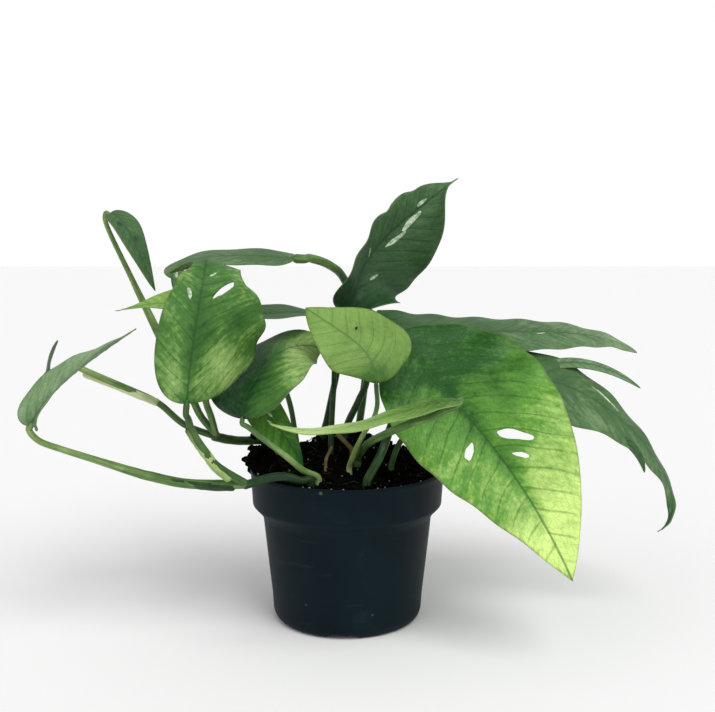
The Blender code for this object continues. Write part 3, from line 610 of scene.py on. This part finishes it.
def blade_mesh(name, leaf, cell):
    """A thin sheet with the blade's holes; faces inside a window use the window material."""
    length, loops, holes, windows, stations, rib, spots = flat_blade(leaf, cell)
    points, edges = [], []
    for loop in loops:
        start = len(points)
        points += [Vector(point) for point in loop]
        edges += [(start + step, start + (step + 1) % len(loop)) for step in range(len(loop))]
    spine = [0, *range(len(points), len(points) + len(rib)), stations]
    points += [Vector(point) for point in rib]
    edges += list(zip(spine, spine[1:]))
    points += [Vector(point) for point in spots]
    flat, _, faces, *_ = delaunay_2d_cdt(points, edges, [], 0, 1e-7)
    flat = np.array([tuple(point) for point in flat])
    faces = [face for face in faces if len(face) == 3]
    middles = np.array([flat[list(face)].mean(0) for face in faces])
    keep = inside(middles, loops[0])
    for hole in holes:
        keep &= ~inside(middles, hole)
    within = np.zeros(len(faces), bool)
    for window in windows:
        within |= inside(middles, window)
    lifts = relief(leaf, flat, length)
    corners = blade_points(leaf, np.clip(flat[:, 0] / length, 0, 1), flat[:, 1], lifts)
    kept = [index for index in range(len(faces)) if keep[index]]
    used = sorted({corner for index in kept for corner in faces[index]})
    renumber = {old: new for new, old in enumerate(used)}
    mesh = bpy.data.meshes.new(name)
    mesh.from_pydata([tuple(corners[old]) for old in used], [],
                     [[renumber[corner] for corner in faces[index]] for index in kept])
    mesh.polygons.foreach_set("material_index", [2 if within[index] else 0 for index in kept])
    point_values(mesh, "tone", tone_of(leaf, flat[used], length))
    _, share = share_across(leaf, flat[used], length, 1.5 * MM)
    point_values(mesh, "margin", np.maximum(share ** 4, (flat[used][:, 0] / length) ** 12))
    blade_map = mesh.uv_layers.new(name="blade")
    vein_map = mesh.uv_layers.new(name="veins")
    phases = {}
    for side in (1, -1):
        beside = side * (np.abs(flat[:, 1]) + 1e-9)
        phases[side] = vein_phase(leaf, np.stack([flat[:, 0], beside], 1))
    blade_uv, vein_uv = [], []
    for index in kept:
        side = 1 if middles[index][1] > 0 else -1
        for corner in faces[index]:
            x, y = flat[corner]
            blade_uv += [x * 100, y * 100]
            vein_uv += [phases[side][corner], y * 100]
    blade_map.data.foreach_set("uv", blade_uv)
    vein_map.data.foreach_set("uv", vein_uv)
    mesh.update()
    return mesh


def vein_masks(tree, veins, warp, grain, margin):
    """Where the fine network, the lateral veins and the midrib lie, from 0 to 1."""
    split = add(tree, "SeparateXYZ", {0: veins})
    warped = vector(tree, "ADD", vector(tree, "MULTIPLY", veins, (4.2, 3.6, 1)), warp)
    edges = cells(tree, warped, 1, feature="DISTANCE_TO_EDGE", voronoi_dimensions="2D")
    network = remap(tree, edges, 0.01, 0.10, 1, 0)
    nearest = maths(tree, "PINGPONG", split.outputs[0], 0.5)
    jitter = scaled(tree, grain, 0.04, -0.02)
    lateral = remap(tree, maths(tree, "ADD", nearest, jitter), 0.015, 0.075, 1, 0)
    # lateral veins thin out towards the margin
    lateral = scaled(tree, lateral, remap(tree, margin, 0.1, 0.8, 1, 0.25))
    aside = maths(tree, "ABSOLUTE", split.outputs[1])
    return network, lateral, remap(tree, aside, 0.03, 0.10, 1, 0)


def leaf_material(name, palette, underside, seed):
    """Waxy leaf tissue: mottled green, dark midrib, lateral veins and a fine network."""
    dark, middle, light, vein, under = PALETTES[palette]
    material, tree, shader = new_material(name)
    blade = add(tree, "UVMap", uv_map="blade").outputs[0]
    veins = add(tree, "UVMap", uv_map="veins").outputs[0]
    tone = add(tree, "Attribute", attribute_name="tone").outputs["Fac"]
    margin = add(tree, "Attribute", attribute_name="margin").outputs["Fac"]
    shifted = vector(tree, "ADD", blade, (seed, 3.7 * seed, 0))
    broad = speckle(tree, shifted, 0.55, 4)
    grain = speckle(tree, shifted, 3.5, 4)
    streaks = speckle(tree, vector(tree, "MULTIPLY", veins, (2.4, 0.9, 1)), 1, 3)
    warp = speckle(tree, shifted, 2, 2, "Color")
    network, lateral, midrib = vein_masks(tree, veins, warp, grain, margin)
    value = vary(tree, tone, broad, 0.55)
    value = vary(tree, value, streaks, 0.5)
    value = vary(tree, value, grain, 0.4)
    colour = ramp(tree, value, ((0, dark), (0.5, middle), (1, light)))
    for mask, amount in ((network, 0.30), (lateral, 0.55), (midrib, 0.85)):
        colour = blend(tree, scaled(tree, mask, amount * VEIN_STRENGTH), colour, vein)
    edge = remap(tree, margin, 0.85, 1, 0, 0.5)
    colour = blend(tree, edge, colour, blend(tree, 0.5, vein, "#8a8f5c"))
    if underside:
        colour = blend(tree, 0.62, colour, under)
    rough = scaled(tree, grain, 0.22, 0.55 if underside else 0.33)
    coat(tree, shader, colour, scaled(tree, network, 0.06, rough), 0.2)
    height = 0
    for mask, amount in ((lateral, -0.7), (network, -0.35), (midrib, -0.8), (grain, 0.35)):
        height = scaled(tree, mask, amount, height)
    bump(tree, shader, scaled(tree, height, -1 if underside else 1), 0.22 * MM, 0.7)
    return material


def window_material():
    """Thin, nearly clear tissue where the blade has not split open yet."""
    material, tree, shader = new_material("leaf_window")
    fine = speckle(tree, add(tree, "UVMap", uv_map="blade").outputs[0], 5, 3)
    colour = blend(tree, remap(tree, fine, 0.35, 0.65), WINDOW_COLOUR, "#8fa583")
    coat(tree, shader, colour, scaled(tree, fine, 0.2, 0.35))
    bump(tree, shader, fine, 0.1 * MM, 0.5)
    return material


def make_leaf(index, name, window):
    leaf = LEAVES[name]
    cell = LARGE_CELL if max(leaf["width"]) > LARGE_HALF_WIDTH else SMALL_CELL
    mesh = blade_mesh("leaf_" + name, leaf, cell)
    for side, under in (("upper", False), ("under", True)):
        mesh.materials.append(leaf_material(f"leaf_{name}_{side}", leaf["palette"], under, index))
    mesh.materials.append(window)
    mesh.materials.append(window)
    shape = bmesh.new()
    shape.from_mesh(mesh)
    for lobe in LOBES.get(name, ()):
        shape.from_mesh(blade_mesh(f"leaf_{name}_lobe", lobe, LOBE_CELL))
    shape.to_mesh(mesh)
    shape.free()
    smooth(mesh, 60)
    piece = bpy.data.objects.new("blade_" + name, mesh)
    solid = piece.modifiers.new("thickness", "SOLIDIFY")
    solid.thickness = BLADE_THICKNESS
    solid.offset = 0
    solid.material_offset = 1
    solid.material_offset_rim = 1
    slot = "leaf_pale" if name in PALE_LEAVES else "leaf_green"
    show(piece, "leaf_dark" if name in DARK_LEAVES else slot, "leaf_" + name)


# Stems

ROUTE_STEP = 1.6 * MM
MIDRIB_RUN = 0.03  # how far a petiole runs along the midrib, as a share of its length
FOOT_RISE = 5 * MM
FOOT_DEPTH = 7 * MM
STEM_SMOOTH = 70


def smooth_route(points):
    """Points close together along a smooth curve through (position, radius, tone) points."""
    ends = [points[0], *points, points[-1]]
    route = []
    for before, start, end, after in zip(ends, ends[1:], ends[2:], ends[3:]):
        steps = max(2, round((end[0] - start[0]).length / ROUTE_STEP))
        for count in range(steps):
            t = count / steps
            position = 0.5 * (2 * start[0] + t * (end[0] - before[0])
                              + t ** 2 * (2 * before[0] - 5 * start[0] + 4 * end[0] - after[0])
                              + t ** 3 * (3 * start[0] - before[0] - 3 * end[0] + after[0]))
            route.append((position, start[1] + t * (end[1] - start[1]),
                          start[2] + t * (end[2] - start[2])))
    route.append(points[-1])
    return route


def spread(values, count):
    """Values for a number of points, read evenly from a shorter or an equal list."""
    return [float(v) for v in np.interp(np.linspace(0, 1, count),
                                        np.linspace(0, 1, len(values)), values)]


def round_section(sides=14, channel=0.22):
    """Points round a stem of radius 1, with a shallow channel on its upper side."""
    section = []
    for step in range(sides):
        angle = 2 * pi * step / sides
        size = 1 - channel * exp(-((angle - pi / 2) / 0.45) ** 2)
        section.append((size * cos(angle), size * sin(angle)))
    return section


def sheath_section(sides=9, wall=0.16):
    """Points round an open sheath that clasps a stem of radius 1 from below."""
    angles = [radians(150 + 240 * step / (sides - 1)) for step in range(sides)]
    outer = [(cos(angle), sin(angle)) for angle in angles]
    inner = [((1 - wall) * x, (1 - wall) * y) for x, y in reversed(outer)]
    return outer + inner


def sweep(shape, positions, radii, tones, section, rough=0.03):
    """A stem added to a bmesh: one section swept along a route, with rounded ends.
    Radii (mm) and tones are spread evenly over the positions."""
    sides = len(section)
    count = len(positions)
    route = smooth_route(list(zip(positions, spread(radii, count), spread(tones, count))))
    tone_layer = shape.verts.layers.float.get("tone") or shape.verts.layers.float.new("tone")
    uv_layer = shape.loops.layers.uv.get("stem") or shape.loops.layers.uv.new("stem")
    rings, travelled = [], 0
    last = len(route) - 1
    up = Vector((0, 0.25, 1))
    for index, (position, radius, tone) in enumerate(route):
        ahead = route[min(index + 1, last)][0] - route[max(index - 1, 0)][0]
        ahead.normalize()
        up = (up - ahead * up.dot(ahead)).normalized()
        side = ahead.cross(up)
        if index:
            travelled += (position - route[index - 1][0]).length
        close = min(index, last - index)
        cap = sqrt(1 - (1 - (close + 0.35) / 2) ** 2) if close < 2 else 1
        ring = []
        for step, (across, rise) in enumerate(section):
            uneven = 1 + rough * noise.noise(position * 260 + Vector((6.3 * step / sides, 0, 0)))
            size = radius * MM * cap * uneven
            corner = shape.verts.new(position + (side * across + up * rise) * size)
            corner[tone_layer] = tone
            ring.append(corner)
        rings.append((ring, travelled))
    for (ring, start), (following, end) in zip(rings, rings[1:]):
        for step in range(sides):
            after = (step + 1) % sides
            face = shape.faces.new((ring[step], ring[after], following[after], following[step]))
            corners = ((step, start), (step + 1, start), (step + 1, end), (step, end))
            for loop, (u, v) in zip(face.loops, corners):
                loop[uv_layer].uv = (u / sides, v * 100)
    for ring, flip in ((rings[0][0], True), (rings[-1][0], False)):
        face = shape.faces.new(ring[::-1] if flip else ring)
        for loop in face.loops:
            loop[uv_layer].uv = (0.5, 0)


def stem_material(name, colours, dry=False):
    """Fleshy stem: streaks along its length, small blemishes."""
    material, tree, shader = new_material(name)
    along = add(tree, "UVMap", uv_map="stem").outputs[0]
    tone = add(tree, "Attribute", attribute_name="tone").outputs["Fac"]
    streaks = speckle(tree, vector(tree, "MULTIPLY", along, (12, 0.5, 1)), 1, 4)
    place = add(tree, "TexCoord").outputs["Object"]
    fine = speckle(tree, place, 1400, 3)
    value = vary(tree, tone, streaks, 0.55)
    value = vary(tree, value, speckle(tree, place, 160, 3), 0.35)
    colour = ramp(tree, value, zip((0, 0.4, 0.75, 1), colours))
    colour = blend(tree, remap(tree, fine, 0.70, 0.78, 0, 0.6), colour, "#5c5334")
    coat(tree, shader, colour, scaled(tree, fine, 0.25, 0.75 if dry else 0.32),
         0.15 if dry else 0.25)
    bump(tree, shader, scaled(tree, fine, 0.5, streaks), (0.5 if dry else 0.15) * MM, 0.7)
    return material


def blade_end(leaf_name, reach):
    """The points where a petiole meets its blade, in line with the midrib."""
    points, _, _, tangents = midrib_frames(LEAVES[leaf_name], [0, MIDRIB_RUN])
    base, tangent = Vector(points[0]), Vector(tangents[0])
    return [Vector(points[1]) - Vector(tangents[1]) * 0.2 * MM, base - tangent * 0.8 * MM,
            base - tangent * reach * MM]


def plant_points(points):
    return [plant_point(point) for point in points]


def foot_points(foot):
    spot = plant_point((*foot, 0))
    surface = soil_height(spot.x, spot.y)
    heights = (surface + FOOT_RISE, surface, surface - FOOT_DEPTH)
    return [Vector((spot.x, spot.y, height)) for height in heights]


def sweep_petiole(shape, leaf_name, spec, lower_end):
    """A petiole from its blade down, with a swelling just under the blade."""
    positions = [*blade_end(leaf_name, spec["reach"]), *plant_points(spec["via"]), *lower_end]
    radii = spread(spec["radii"], len(positions))
    radii = [0.55 * radii[0], 1.12 * radii[1], 1.02 * radii[2], *radii[3:]]
    sweep(shape, positions, radii, spec["tone"], round_section())


def make_petiole(name, spec, material):
    shape = bmesh.new()
    sweep_petiole(shape, name, spec, foot_points(spec["foot"]))
    show_shape("stem_" + name, shape, material, STEM_SMOOTH, "petiole", "petiole_" + name)


def make_runner(name, spec, material):
    """A trunk, the petioles that leave its outer end, and the sheaths that clasp them."""
    trunk = plant_points(spec["trunk"])
    positions = [*trunk, *foot_points(spec["foot"])]
    shape = bmesh.new()
    sweep(shape, positions, (spec["radius"],), spec["tone"], round_section(channel=0.05), 0.08)
    for index, leaf_name in enumerate(spec["petioles"]):
        branch = RUNNER_PETIOLES[leaf_name]
        node = trunk[0] + (trunk[1] - trunk[0]) * (0.25 + 0.1 * index)
        sweep_petiole(shape, leaf_name, branch, [node])
        if "sheath" in branch:
            sweep(shape, plant_points(branch["sheath"]), SHEATH_RADII,
                  branch.get("sheath_tone", SHEATH_TONE), sheath_section(), 0.12)
    show_shape("vine_" + name, shape, material, STEM_SMOOTH, "petiole", "runner_" + name)


def make_stub(name, spec, material):
    positions = [*plant_points(spec["via"]), *foot_points(spec["foot"])]
    shape = bmesh.new()
    sweep(shape, positions, spec["radii"], (0.5,), round_section(10), 0.35)
    show_shape("dead_stub_" + name, shape, material, STEM_SMOOTH, "dead_stalk", "stub_" + name)


# Soil

SOIL_EDGE_DROP = 3 * MM
MOUND_HEIGHT = 19 * MM
MOUND_BACK = 0.37 * RIM_RADIUS
MOUND_SPREAD_X = 0.70 * RIM_RADIUS
MOUND_SPREAD_Y = 0.43 * RIM_RADIUS
LUMP_HEIGHT = 14 * MM
LUMP_X = -0.88 * RIM_RADIUS
LUMP_Y = -0.03 * RIM_RADIUS
LUMP_SPREAD = 9 * MM
BRIM = RIM_RADIUS - 1.8 * MM
SOIL_RINGS = 44
SOIL_SIDES = 150
CLODS = 900
CLOD_RADII = (0.8, 1, 1.2, 1.5, 2.1)
LUMP_CLODS = 70
PERLITE_GRAINS = 26
EDGE_GRAIN_ANGLES = (-2.9, -2.8, -2.02, -1.95, -1.72, -1.6, -1.25, -0.7, 0.9, 2.2)
BARK_FIBRES = 60


def soil_height(x, y):
    """Height of the soil's top before its crumbs: a mound towards the back, low at the rim,
    and a lump that stands up at the left edge."""
    edge = min(hypot(x, y) / BRIM, 1)
    mound = exp(-(x / MOUND_SPREAD_X) ** 2 - ((y - MOUND_BACK) / MOUND_SPREAD_Y) ** 2)
    lump = exp(-((x - LUMP_X) / LUMP_SPREAD) ** 4 - ((y - LUMP_Y) / (1.4 * LUMP_SPREAD)) ** 4)
    rise = (1 - edge ** 6) * MOUND_HEIGHT * mound + (1 - 0.6 * edge ** 40) * LUMP_HEIGHT * lump
    return RIM_HEIGHT - SOIL_EDGE_DROP + rise


def soil_material():
    """Damp peat, nearly black, with brown fibres in it."""
    material, tree, shader = new_material("peat_soil")
    place = add(tree, "TexCoord").outputs["Object"]
    fine = speckle(tree, place, 1500, 4)
    value = scaled(tree, speckle(tree, place, 220, 4), 0.6, scaled(tree, fine, 0.5))
    colour = ramp(tree, value, ((0.3, "#030302"), (0.65, "#0c0a08"), (0.9, "#241c15")))
    coat(tree, shader, colour, 0.95, 0.06)
    bump(tree, shader, scaled(tree, cells(tree, place, 900), 0.7, fine), 0.9 * MM, 1)
    return material


def add_clod(shape, centre, size, draw):
    """An uneven crumb."""
    made = bmesh.ops.create_icosphere(shape, subdivisions=1, radius=size)["verts"]
    stretch = [draw.uniform(0.7, 1.25) for _ in range(3)]
    for corner in made:
        uneven = 1 + 0.35 * noise.noise(corner.co * 500 + centre * 900)
        corner.co = Vector([c * s * uneven for c, s in zip(corner.co, stretch)]) + centre


def soil_spot(draw, gap):
    """A random place on the soil, with a gap to its edge."""
    radius = (BRIM - gap) * sqrt(draw.random())
    return polar(radius, draw.uniform(0, 2 * pi))


def crumbly_height(x, y):
    rough = 1.6 * wobble((x, y, 0), 9 * MM) + 1.2 * abs(wobble((x, y, 0), 3.5 * MM, 4))
    return soil_height(x, y) + (rough + 0.5 * wobble((x, y, 0), 1.4 * MM, 9)) * MM


def soil_surface(shape):
    """The crumbly top, and a wall and floor below it inside the pot."""
    angles = [2 * pi * step / SOIL_SIDES for step in range(SOIL_SIDES)]
    top = shape.verts.new((0, 0, crumbly_height(0, 0)))
    rows = []
    for ring in range(1, SOIL_RINGS + 1):
        spots = [polar(BRIM * ring / SOIL_RINGS, angle) for angle in angles]
        rows.append([shape.verts.new((x, y, crumbly_height(x, y))) for x, y in spots])
    rows.append([shape.verts.new((*polar(BRIM - 1.5 * MM, angle), RIM_HEIGHT - 12 * MM))
                 for angle in angles])
    for step in range(SOIL_SIDES):
        shape.faces.new((top, rows[0][step], rows[0][(step + 1) % SOIL_SIDES]))
    for inner, outer in zip(rows, rows[1:]):
        bridge(shape, inner, outer)
    shape.faces.new(rows[-1])


def make_soil():
    """A crumbly mound with clods on it, and more clods on its lump."""
    shape = bmesh.new()
    soil_surface(shape)
    draw = random.Random(5)
    for _ in range(CLODS):
        x, y = soil_spot(draw, 2.5 * MM)
        size = draw.choice(CLOD_RADII) * MM
        add_clod(shape, Vector((x, y, soil_height(x, y) + 0.5 * size)), size, draw)
    lump = Vector((LUMP_X - 2 * MM, LUMP_Y, RIM_HEIGHT + 6 * MM))
    for _ in range(LUMP_CLODS):
        shift = Vector((draw.gauss(0, 3.5), draw.gauss(0, 7), draw.gauss(0, 3.5))) * MM
        add_clod(shape, lump + shift, draw.uniform(1.8, 3.4) * MM, draw)
    show_shape("potting_soil", shape, soil_material(), 80, "soil", "soil")


def grit_material(name, code, second):
    material, tree, shader = new_material(name)
    fine = speckle(tree, add(tree, "TexCoord").outputs["Object"], 900, 3)
    coat(tree, shader, blend(tree, fine, code, second), 0.85)
    bump(tree, shader, fine, 0.4 * MM, 0.8)
    return material


def add_fibre(shape, draw):
    """A bark fibre that lies on the soil."""
    x, y = soil_spot(draw, 8 * MM)
    heading = draw.uniform(0, pi)
    length = draw.uniform(3, 9) * MM
    positions, radii = [], []
    for step in range(5):
        aside_x, aside_y = polar((step / 4 - 0.5) * length, heading)
        height = soil_height(x + aside_x, y + aside_y) + (1.6 + draw.uniform(-0.3, 1.3)) * MM
        positions.append(Vector((x + aside_x, y + aside_y, height)))
        radii.append(draw.uniform(0.14, 0.3))
    sweep(shape, positions, radii, (0.5,), round_section(5), 0.3)


def make_grit():
    """Perlite grains, and bark fibres that lie on the soil."""
    draw = random.Random(11)
    shape = bmesh.new()
    for _ in range(PERLITE_GRAINS):
        x, y = soil_spot(draw, 2 * MM)
        spot = Vector((x, y, soil_height(x, y) + 1.8 * MM))
        add_clod(shape, spot, draw.uniform(0.4, 0.9) * MM, draw)
    for angle in EDGE_GRAIN_ANGLES:
        spot = Vector((*polar(BRIM - 1.3 * MM, angle), RIM_HEIGHT - 0.6 * MM))
        add_clod(shape, spot, draw.uniform(0.5, 0.9) * MM, draw)
    show_shape("perlite_grains", shape, grit_material("perlite", "#a3a69e", "#6d706a"), 40, "soil")
    shape = bmesh.new()
    for _ in range(BARK_FIBRES):
        add_fibre(shape, draw)
    show_shape("bark_fibres", shape, grit_material("bark_fibre", "#40342a", "#1c1712"), 40, "soil")


# Pot

POT_WALL = 1.4 * MM
POT_SIDES = 240
COLLAR_FOOT = 0.765 * RIM_HEIGHT
SHOULDER_FOOT = 0.665 * RIM_HEIGHT
COLLAR_RADIUS = RIM_RADIUS - 1.6 * MM
BODY_TOP_RADIUS = 0.865 * RIM_RADIUS
BODY_LOW_RADIUS = 0.775 * RIM_RADIUS
BASE_RADIUS = 0.70 * RIM_RADIUS
FOOT_CORNER = 7 * MM
NOTCHES = 4
NOTCH_TURN = radians(-93.5)
NOTCH_RADIUS = 0.72 * RIM_RADIUS
NOTCH_HALF_WIDTH = 9 * MM
NOTCH_EDGE = 1.6 * MM
NOTCH_HEIGHT = 2.8 * MM


def between(start, end, count):
    """Evenly spaced points between two places, without them."""
    shares = [step / count for step in range(1, count)]
    return [(start[0] + t * (end[0] - start[0]), start[1] + t * (end[1] - start[1]))
            for t in shares]


def outside_profile():
    """(radius, height) points from the rim down the outside and in under the foot ring."""
    lip = [(RIM_RADIUS - inset * MM, RIM_HEIGHT - drop * MM)
           for inset, drop in ((1.4, 0.5), (1, 0), (0.35, 0.15), (0, 0.8), (0, 2),
                               (0.35, 2.9))]
    collar = between(lip[-1], (COLLAR_RADIUS, COLLAR_FOOT), 8)
    collar += [(COLLAR_RADIUS - inset * MM, COLLAR_FOOT - drop * MM)
               for inset, drop in ((0, -0.5), (0.25, 0.1), (1.2, 1.2))]
    radius, height = collar[-1]
    shoulder = [(radius + sin(0.5 * pi * t) * (BODY_TOP_RADIUS - radius),
                 height + t * (SHOULDER_FOOT - height)) for t in (step / 6 for step in range(1, 7))]
    body = between((BODY_TOP_RADIUS, SHOULDER_FOOT), (BODY_LOW_RADIUS, 1.6 * FOOT_CORNER), 15)
    foot = []
    for step in range(8):
        aside, rise = polar(1, 0.5 * pi * step / 8)
        radius = BASE_RADIUS + (BODY_LOW_RADIUS - BASE_RADIUS - 0.4 * MM) * aside
        foot.append((radius + 0.3 * MM * (1 - step / 8), FOOT_CORNER * (1 - rise) + 0.15 * MM))
    foot += [(BASE_RADIUS - inset * MM, height * MM)
             for inset, height in ((0, 0.02), (2.5, 0), (3, 0.3), (3.2, 3.2))]
    return lip + collar + shoulder + body + foot


def inside_profile():
    """(radius, height) points from the floor up the inside of the pot."""
    return [(BASE_RADIUS - 2 * MM, 4.6 * MM), (BODY_LOW_RADIUS - POT_WALL, 1.8 * FOOT_CORNER),
            (BODY_TOP_RADIUS - POT_WALL, SHOULDER_FOOT), (COLLAR_RADIUS - POT_WALL, COLLAR_FOOT),
            (RIM_RADIUS - POT_WALL, RIM_HEIGHT - 1.5 * MM)]


def notch_height(angle):
    """How high the recesses lift the pot's bottom edge at an angle round it."""
    height = 0
    for index in range(NOTCHES):
        turn = NOTCH_TURN + index * 2 * pi / NOTCHES
        gap = abs((angle - turn + pi) % (2 * pi) - pi) * NOTCH_RADIUS
        ease = min(max((NOTCH_HALF_WIDTH + 0.5 * NOTCH_EDGE - gap) / NOTCH_EDGE, 0), 1)
        height = max(height, NOTCH_HEIGHT * ease)
    return height


def make_pot():
    shape = bmesh.new()
    angles = [2 * pi * step / POT_SIDES for step in range(POT_SIDES)]
    rings = []
    for radius, height in [*inside_profile(), *outside_profile()]:
        ring = []
        for angle in angles:
            spot = Vector((*polar(radius, angle), max(height, notch_height(angle))))
            sway = 0.18 * MM * wobble(spot, 30 * MM, 3)
            ring.append(shape.verts.new(spot + Vector((*polar(sway, angle), 0))))
        rings.append(ring)
    for first, second in zip(rings, rings[1:]):
        bridge(shape, first, second)
    shape.faces.new(rings[0])
    shape.faces.new(rings[-1][::-1])
    show_shape("nursery_pot", shape, pot_material(), 45, "pot", "pot")


def pot_material():
    """Blue-black moulded plastic, dusty in places, with scuffs and water marks."""
    material, tree, shader = new_material("nursery_plastic")
    place = add(tree, "TexCoord").outputs["Object"]
    broad = speckle(tree, place, 26, 4)
    fine = speckle(tree, place, 700, 3)
    dust = speckle(tree, place, 60, 6)
    dusty = scaled(tree, remap(tree, dust, 0.55, 0.8, 0, 0.35), fine)
    spots = remap(tree, cells(tree, place, 75), 0.05, 0.10, 1, 0)
    marks = scaled(tree, spots, remap(tree, dust, 0.52, 0.60))
    stretched = add(tree, "Mapping", {0: place, 2: (0.3, 0.2, 0.4), 3: (30, 30, 240)})
    streaks = speckle(tree, stretched.outputs[0], 1, 2)
    colour = blend(tree, remap(tree, broad, 0.3, 0.7), "#04141b", "#081a20")
    colour = blend(tree, dusty, colour, "#2c3a3c")
    colour = blend(tree, scaled(tree, marks, 0.6), colour, "#6f7d79")
    colour = blend(tree, remap(tree, streaks, 0.68, 0.72, 0, 0.25), colour, "#26302f")
    rough = scaled(tree, broad, 0.18, 0.42)
    coat(tree, shader, colour, scaled(tree, dusty, 0.5, rough), 0.09)
    bump(tree, shader, scaled(tree, cells(tree, place, 1300), 0.5, fine), 0.06 * MM, 0.6)
    return material


# Stage

SKY_LIGHT = 0.5
FLOOR_TONE = 0.96
FLOOR_REACH = 6
FLOOR_DROP = 0.3 * MM
# name, direction, how soft (degrees), strength
SUNS = (("key", (0.7, -1, 1.5), 40, 1.85), ("fill", (-1.2, -0.9, 0.8), 60, 0.35))
CAMERA_PLACE = (0.0064, -0.620, 0.240)
CAMERA_TILT = radians(82.9)
CAMERA_LENS = 51.36
CAMERA_SENSOR = 36


def make_world():
    """White sky, at full strength for the camera and dimmer as a light."""
    scene.world = bpy.data.worlds.new("studio")
    scene.world.use_nodes = True
    tree = scene.world.node_tree
    seen = add(tree, "LightPath").outputs["Is Camera Ray"]
    background = tree.nodes["Background"]
    tree.links.new(scaled(tree, seen, 1 - SKY_LIGHT, SKY_LIGHT), background.inputs["Strength"])
    background.inputs["Color"].default_value = (1, 1, 1, 1)


def make_floor():
    shape = bmesh.new()
    bmesh.ops.create_grid(shape, x_segments=1, y_segments=1, size=FLOOR_REACH)
    mesh = bpy.data.meshes.new("floor")
    shape.to_mesh(mesh)
    shape.free()
    material, tree, shader = new_material("pale_floor")
    coat(tree, shader, (FLOOR_TONE, FLOOR_TONE, FLOOR_TONE, 1), 0.9)
    mesh.materials.append(material)
    floor = bpy.data.objects.new("floor", mesh)
    floor.location.z = -FLOOR_DROP
    scene.collection.objects.link(floor)


def make_suns():
    for name, place, softness, strength in SUNS:
        lamp = bpy.data.lights.new(name, "SUN")
        lamp.angle = radians(softness)
        lamp.energy = strength
        sun = bpy.data.objects.new(name, lamp)
        sun.location = place
        sun.rotation_euler = (-sun.location).to_track_quat("-Z", "Y").to_euler()
        scene.collection.objects.link(sun)


def make_camera():
    """The camera at the photographed angle."""
    lens = bpy.data.cameras.new("camera")
    lens.lens = CAMERA_LENS
    lens.sensor_width = CAMERA_SENSOR
    camera = bpy.data.objects.new("camera", lens)
    camera.location = CAMERA_PLACE
    camera.rotation_euler = (CAMERA_TILT, 0, 0)
    scene.collection.objects.link(camera)
    scene.camera = camera
    scene.view_settings.view_transform = "Standard"


make_camera()
make_world()
make_floor()
make_suns()
make_pot()
make_soil()
make_grit()
leaf_window = window_material()
for index, name in enumerate(LEAVES):
    make_leaf(index, name, leaf_window)
petiole_flesh = stem_material("petiole_flesh", STEM_COLOURS)
for name, spec in PETIOLES.items():
    make_petiole(name, spec, petiole_flesh)
for name, spec in RUNNERS.items():
    make_runner(name, spec, petiole_flesh)
dead_stalk = stem_material("dead_stalk", DRY_STEM_COLOURS, dry=True)
for name, spec in STUBS.items():
    make_stub(name, spec, dead_stalk)
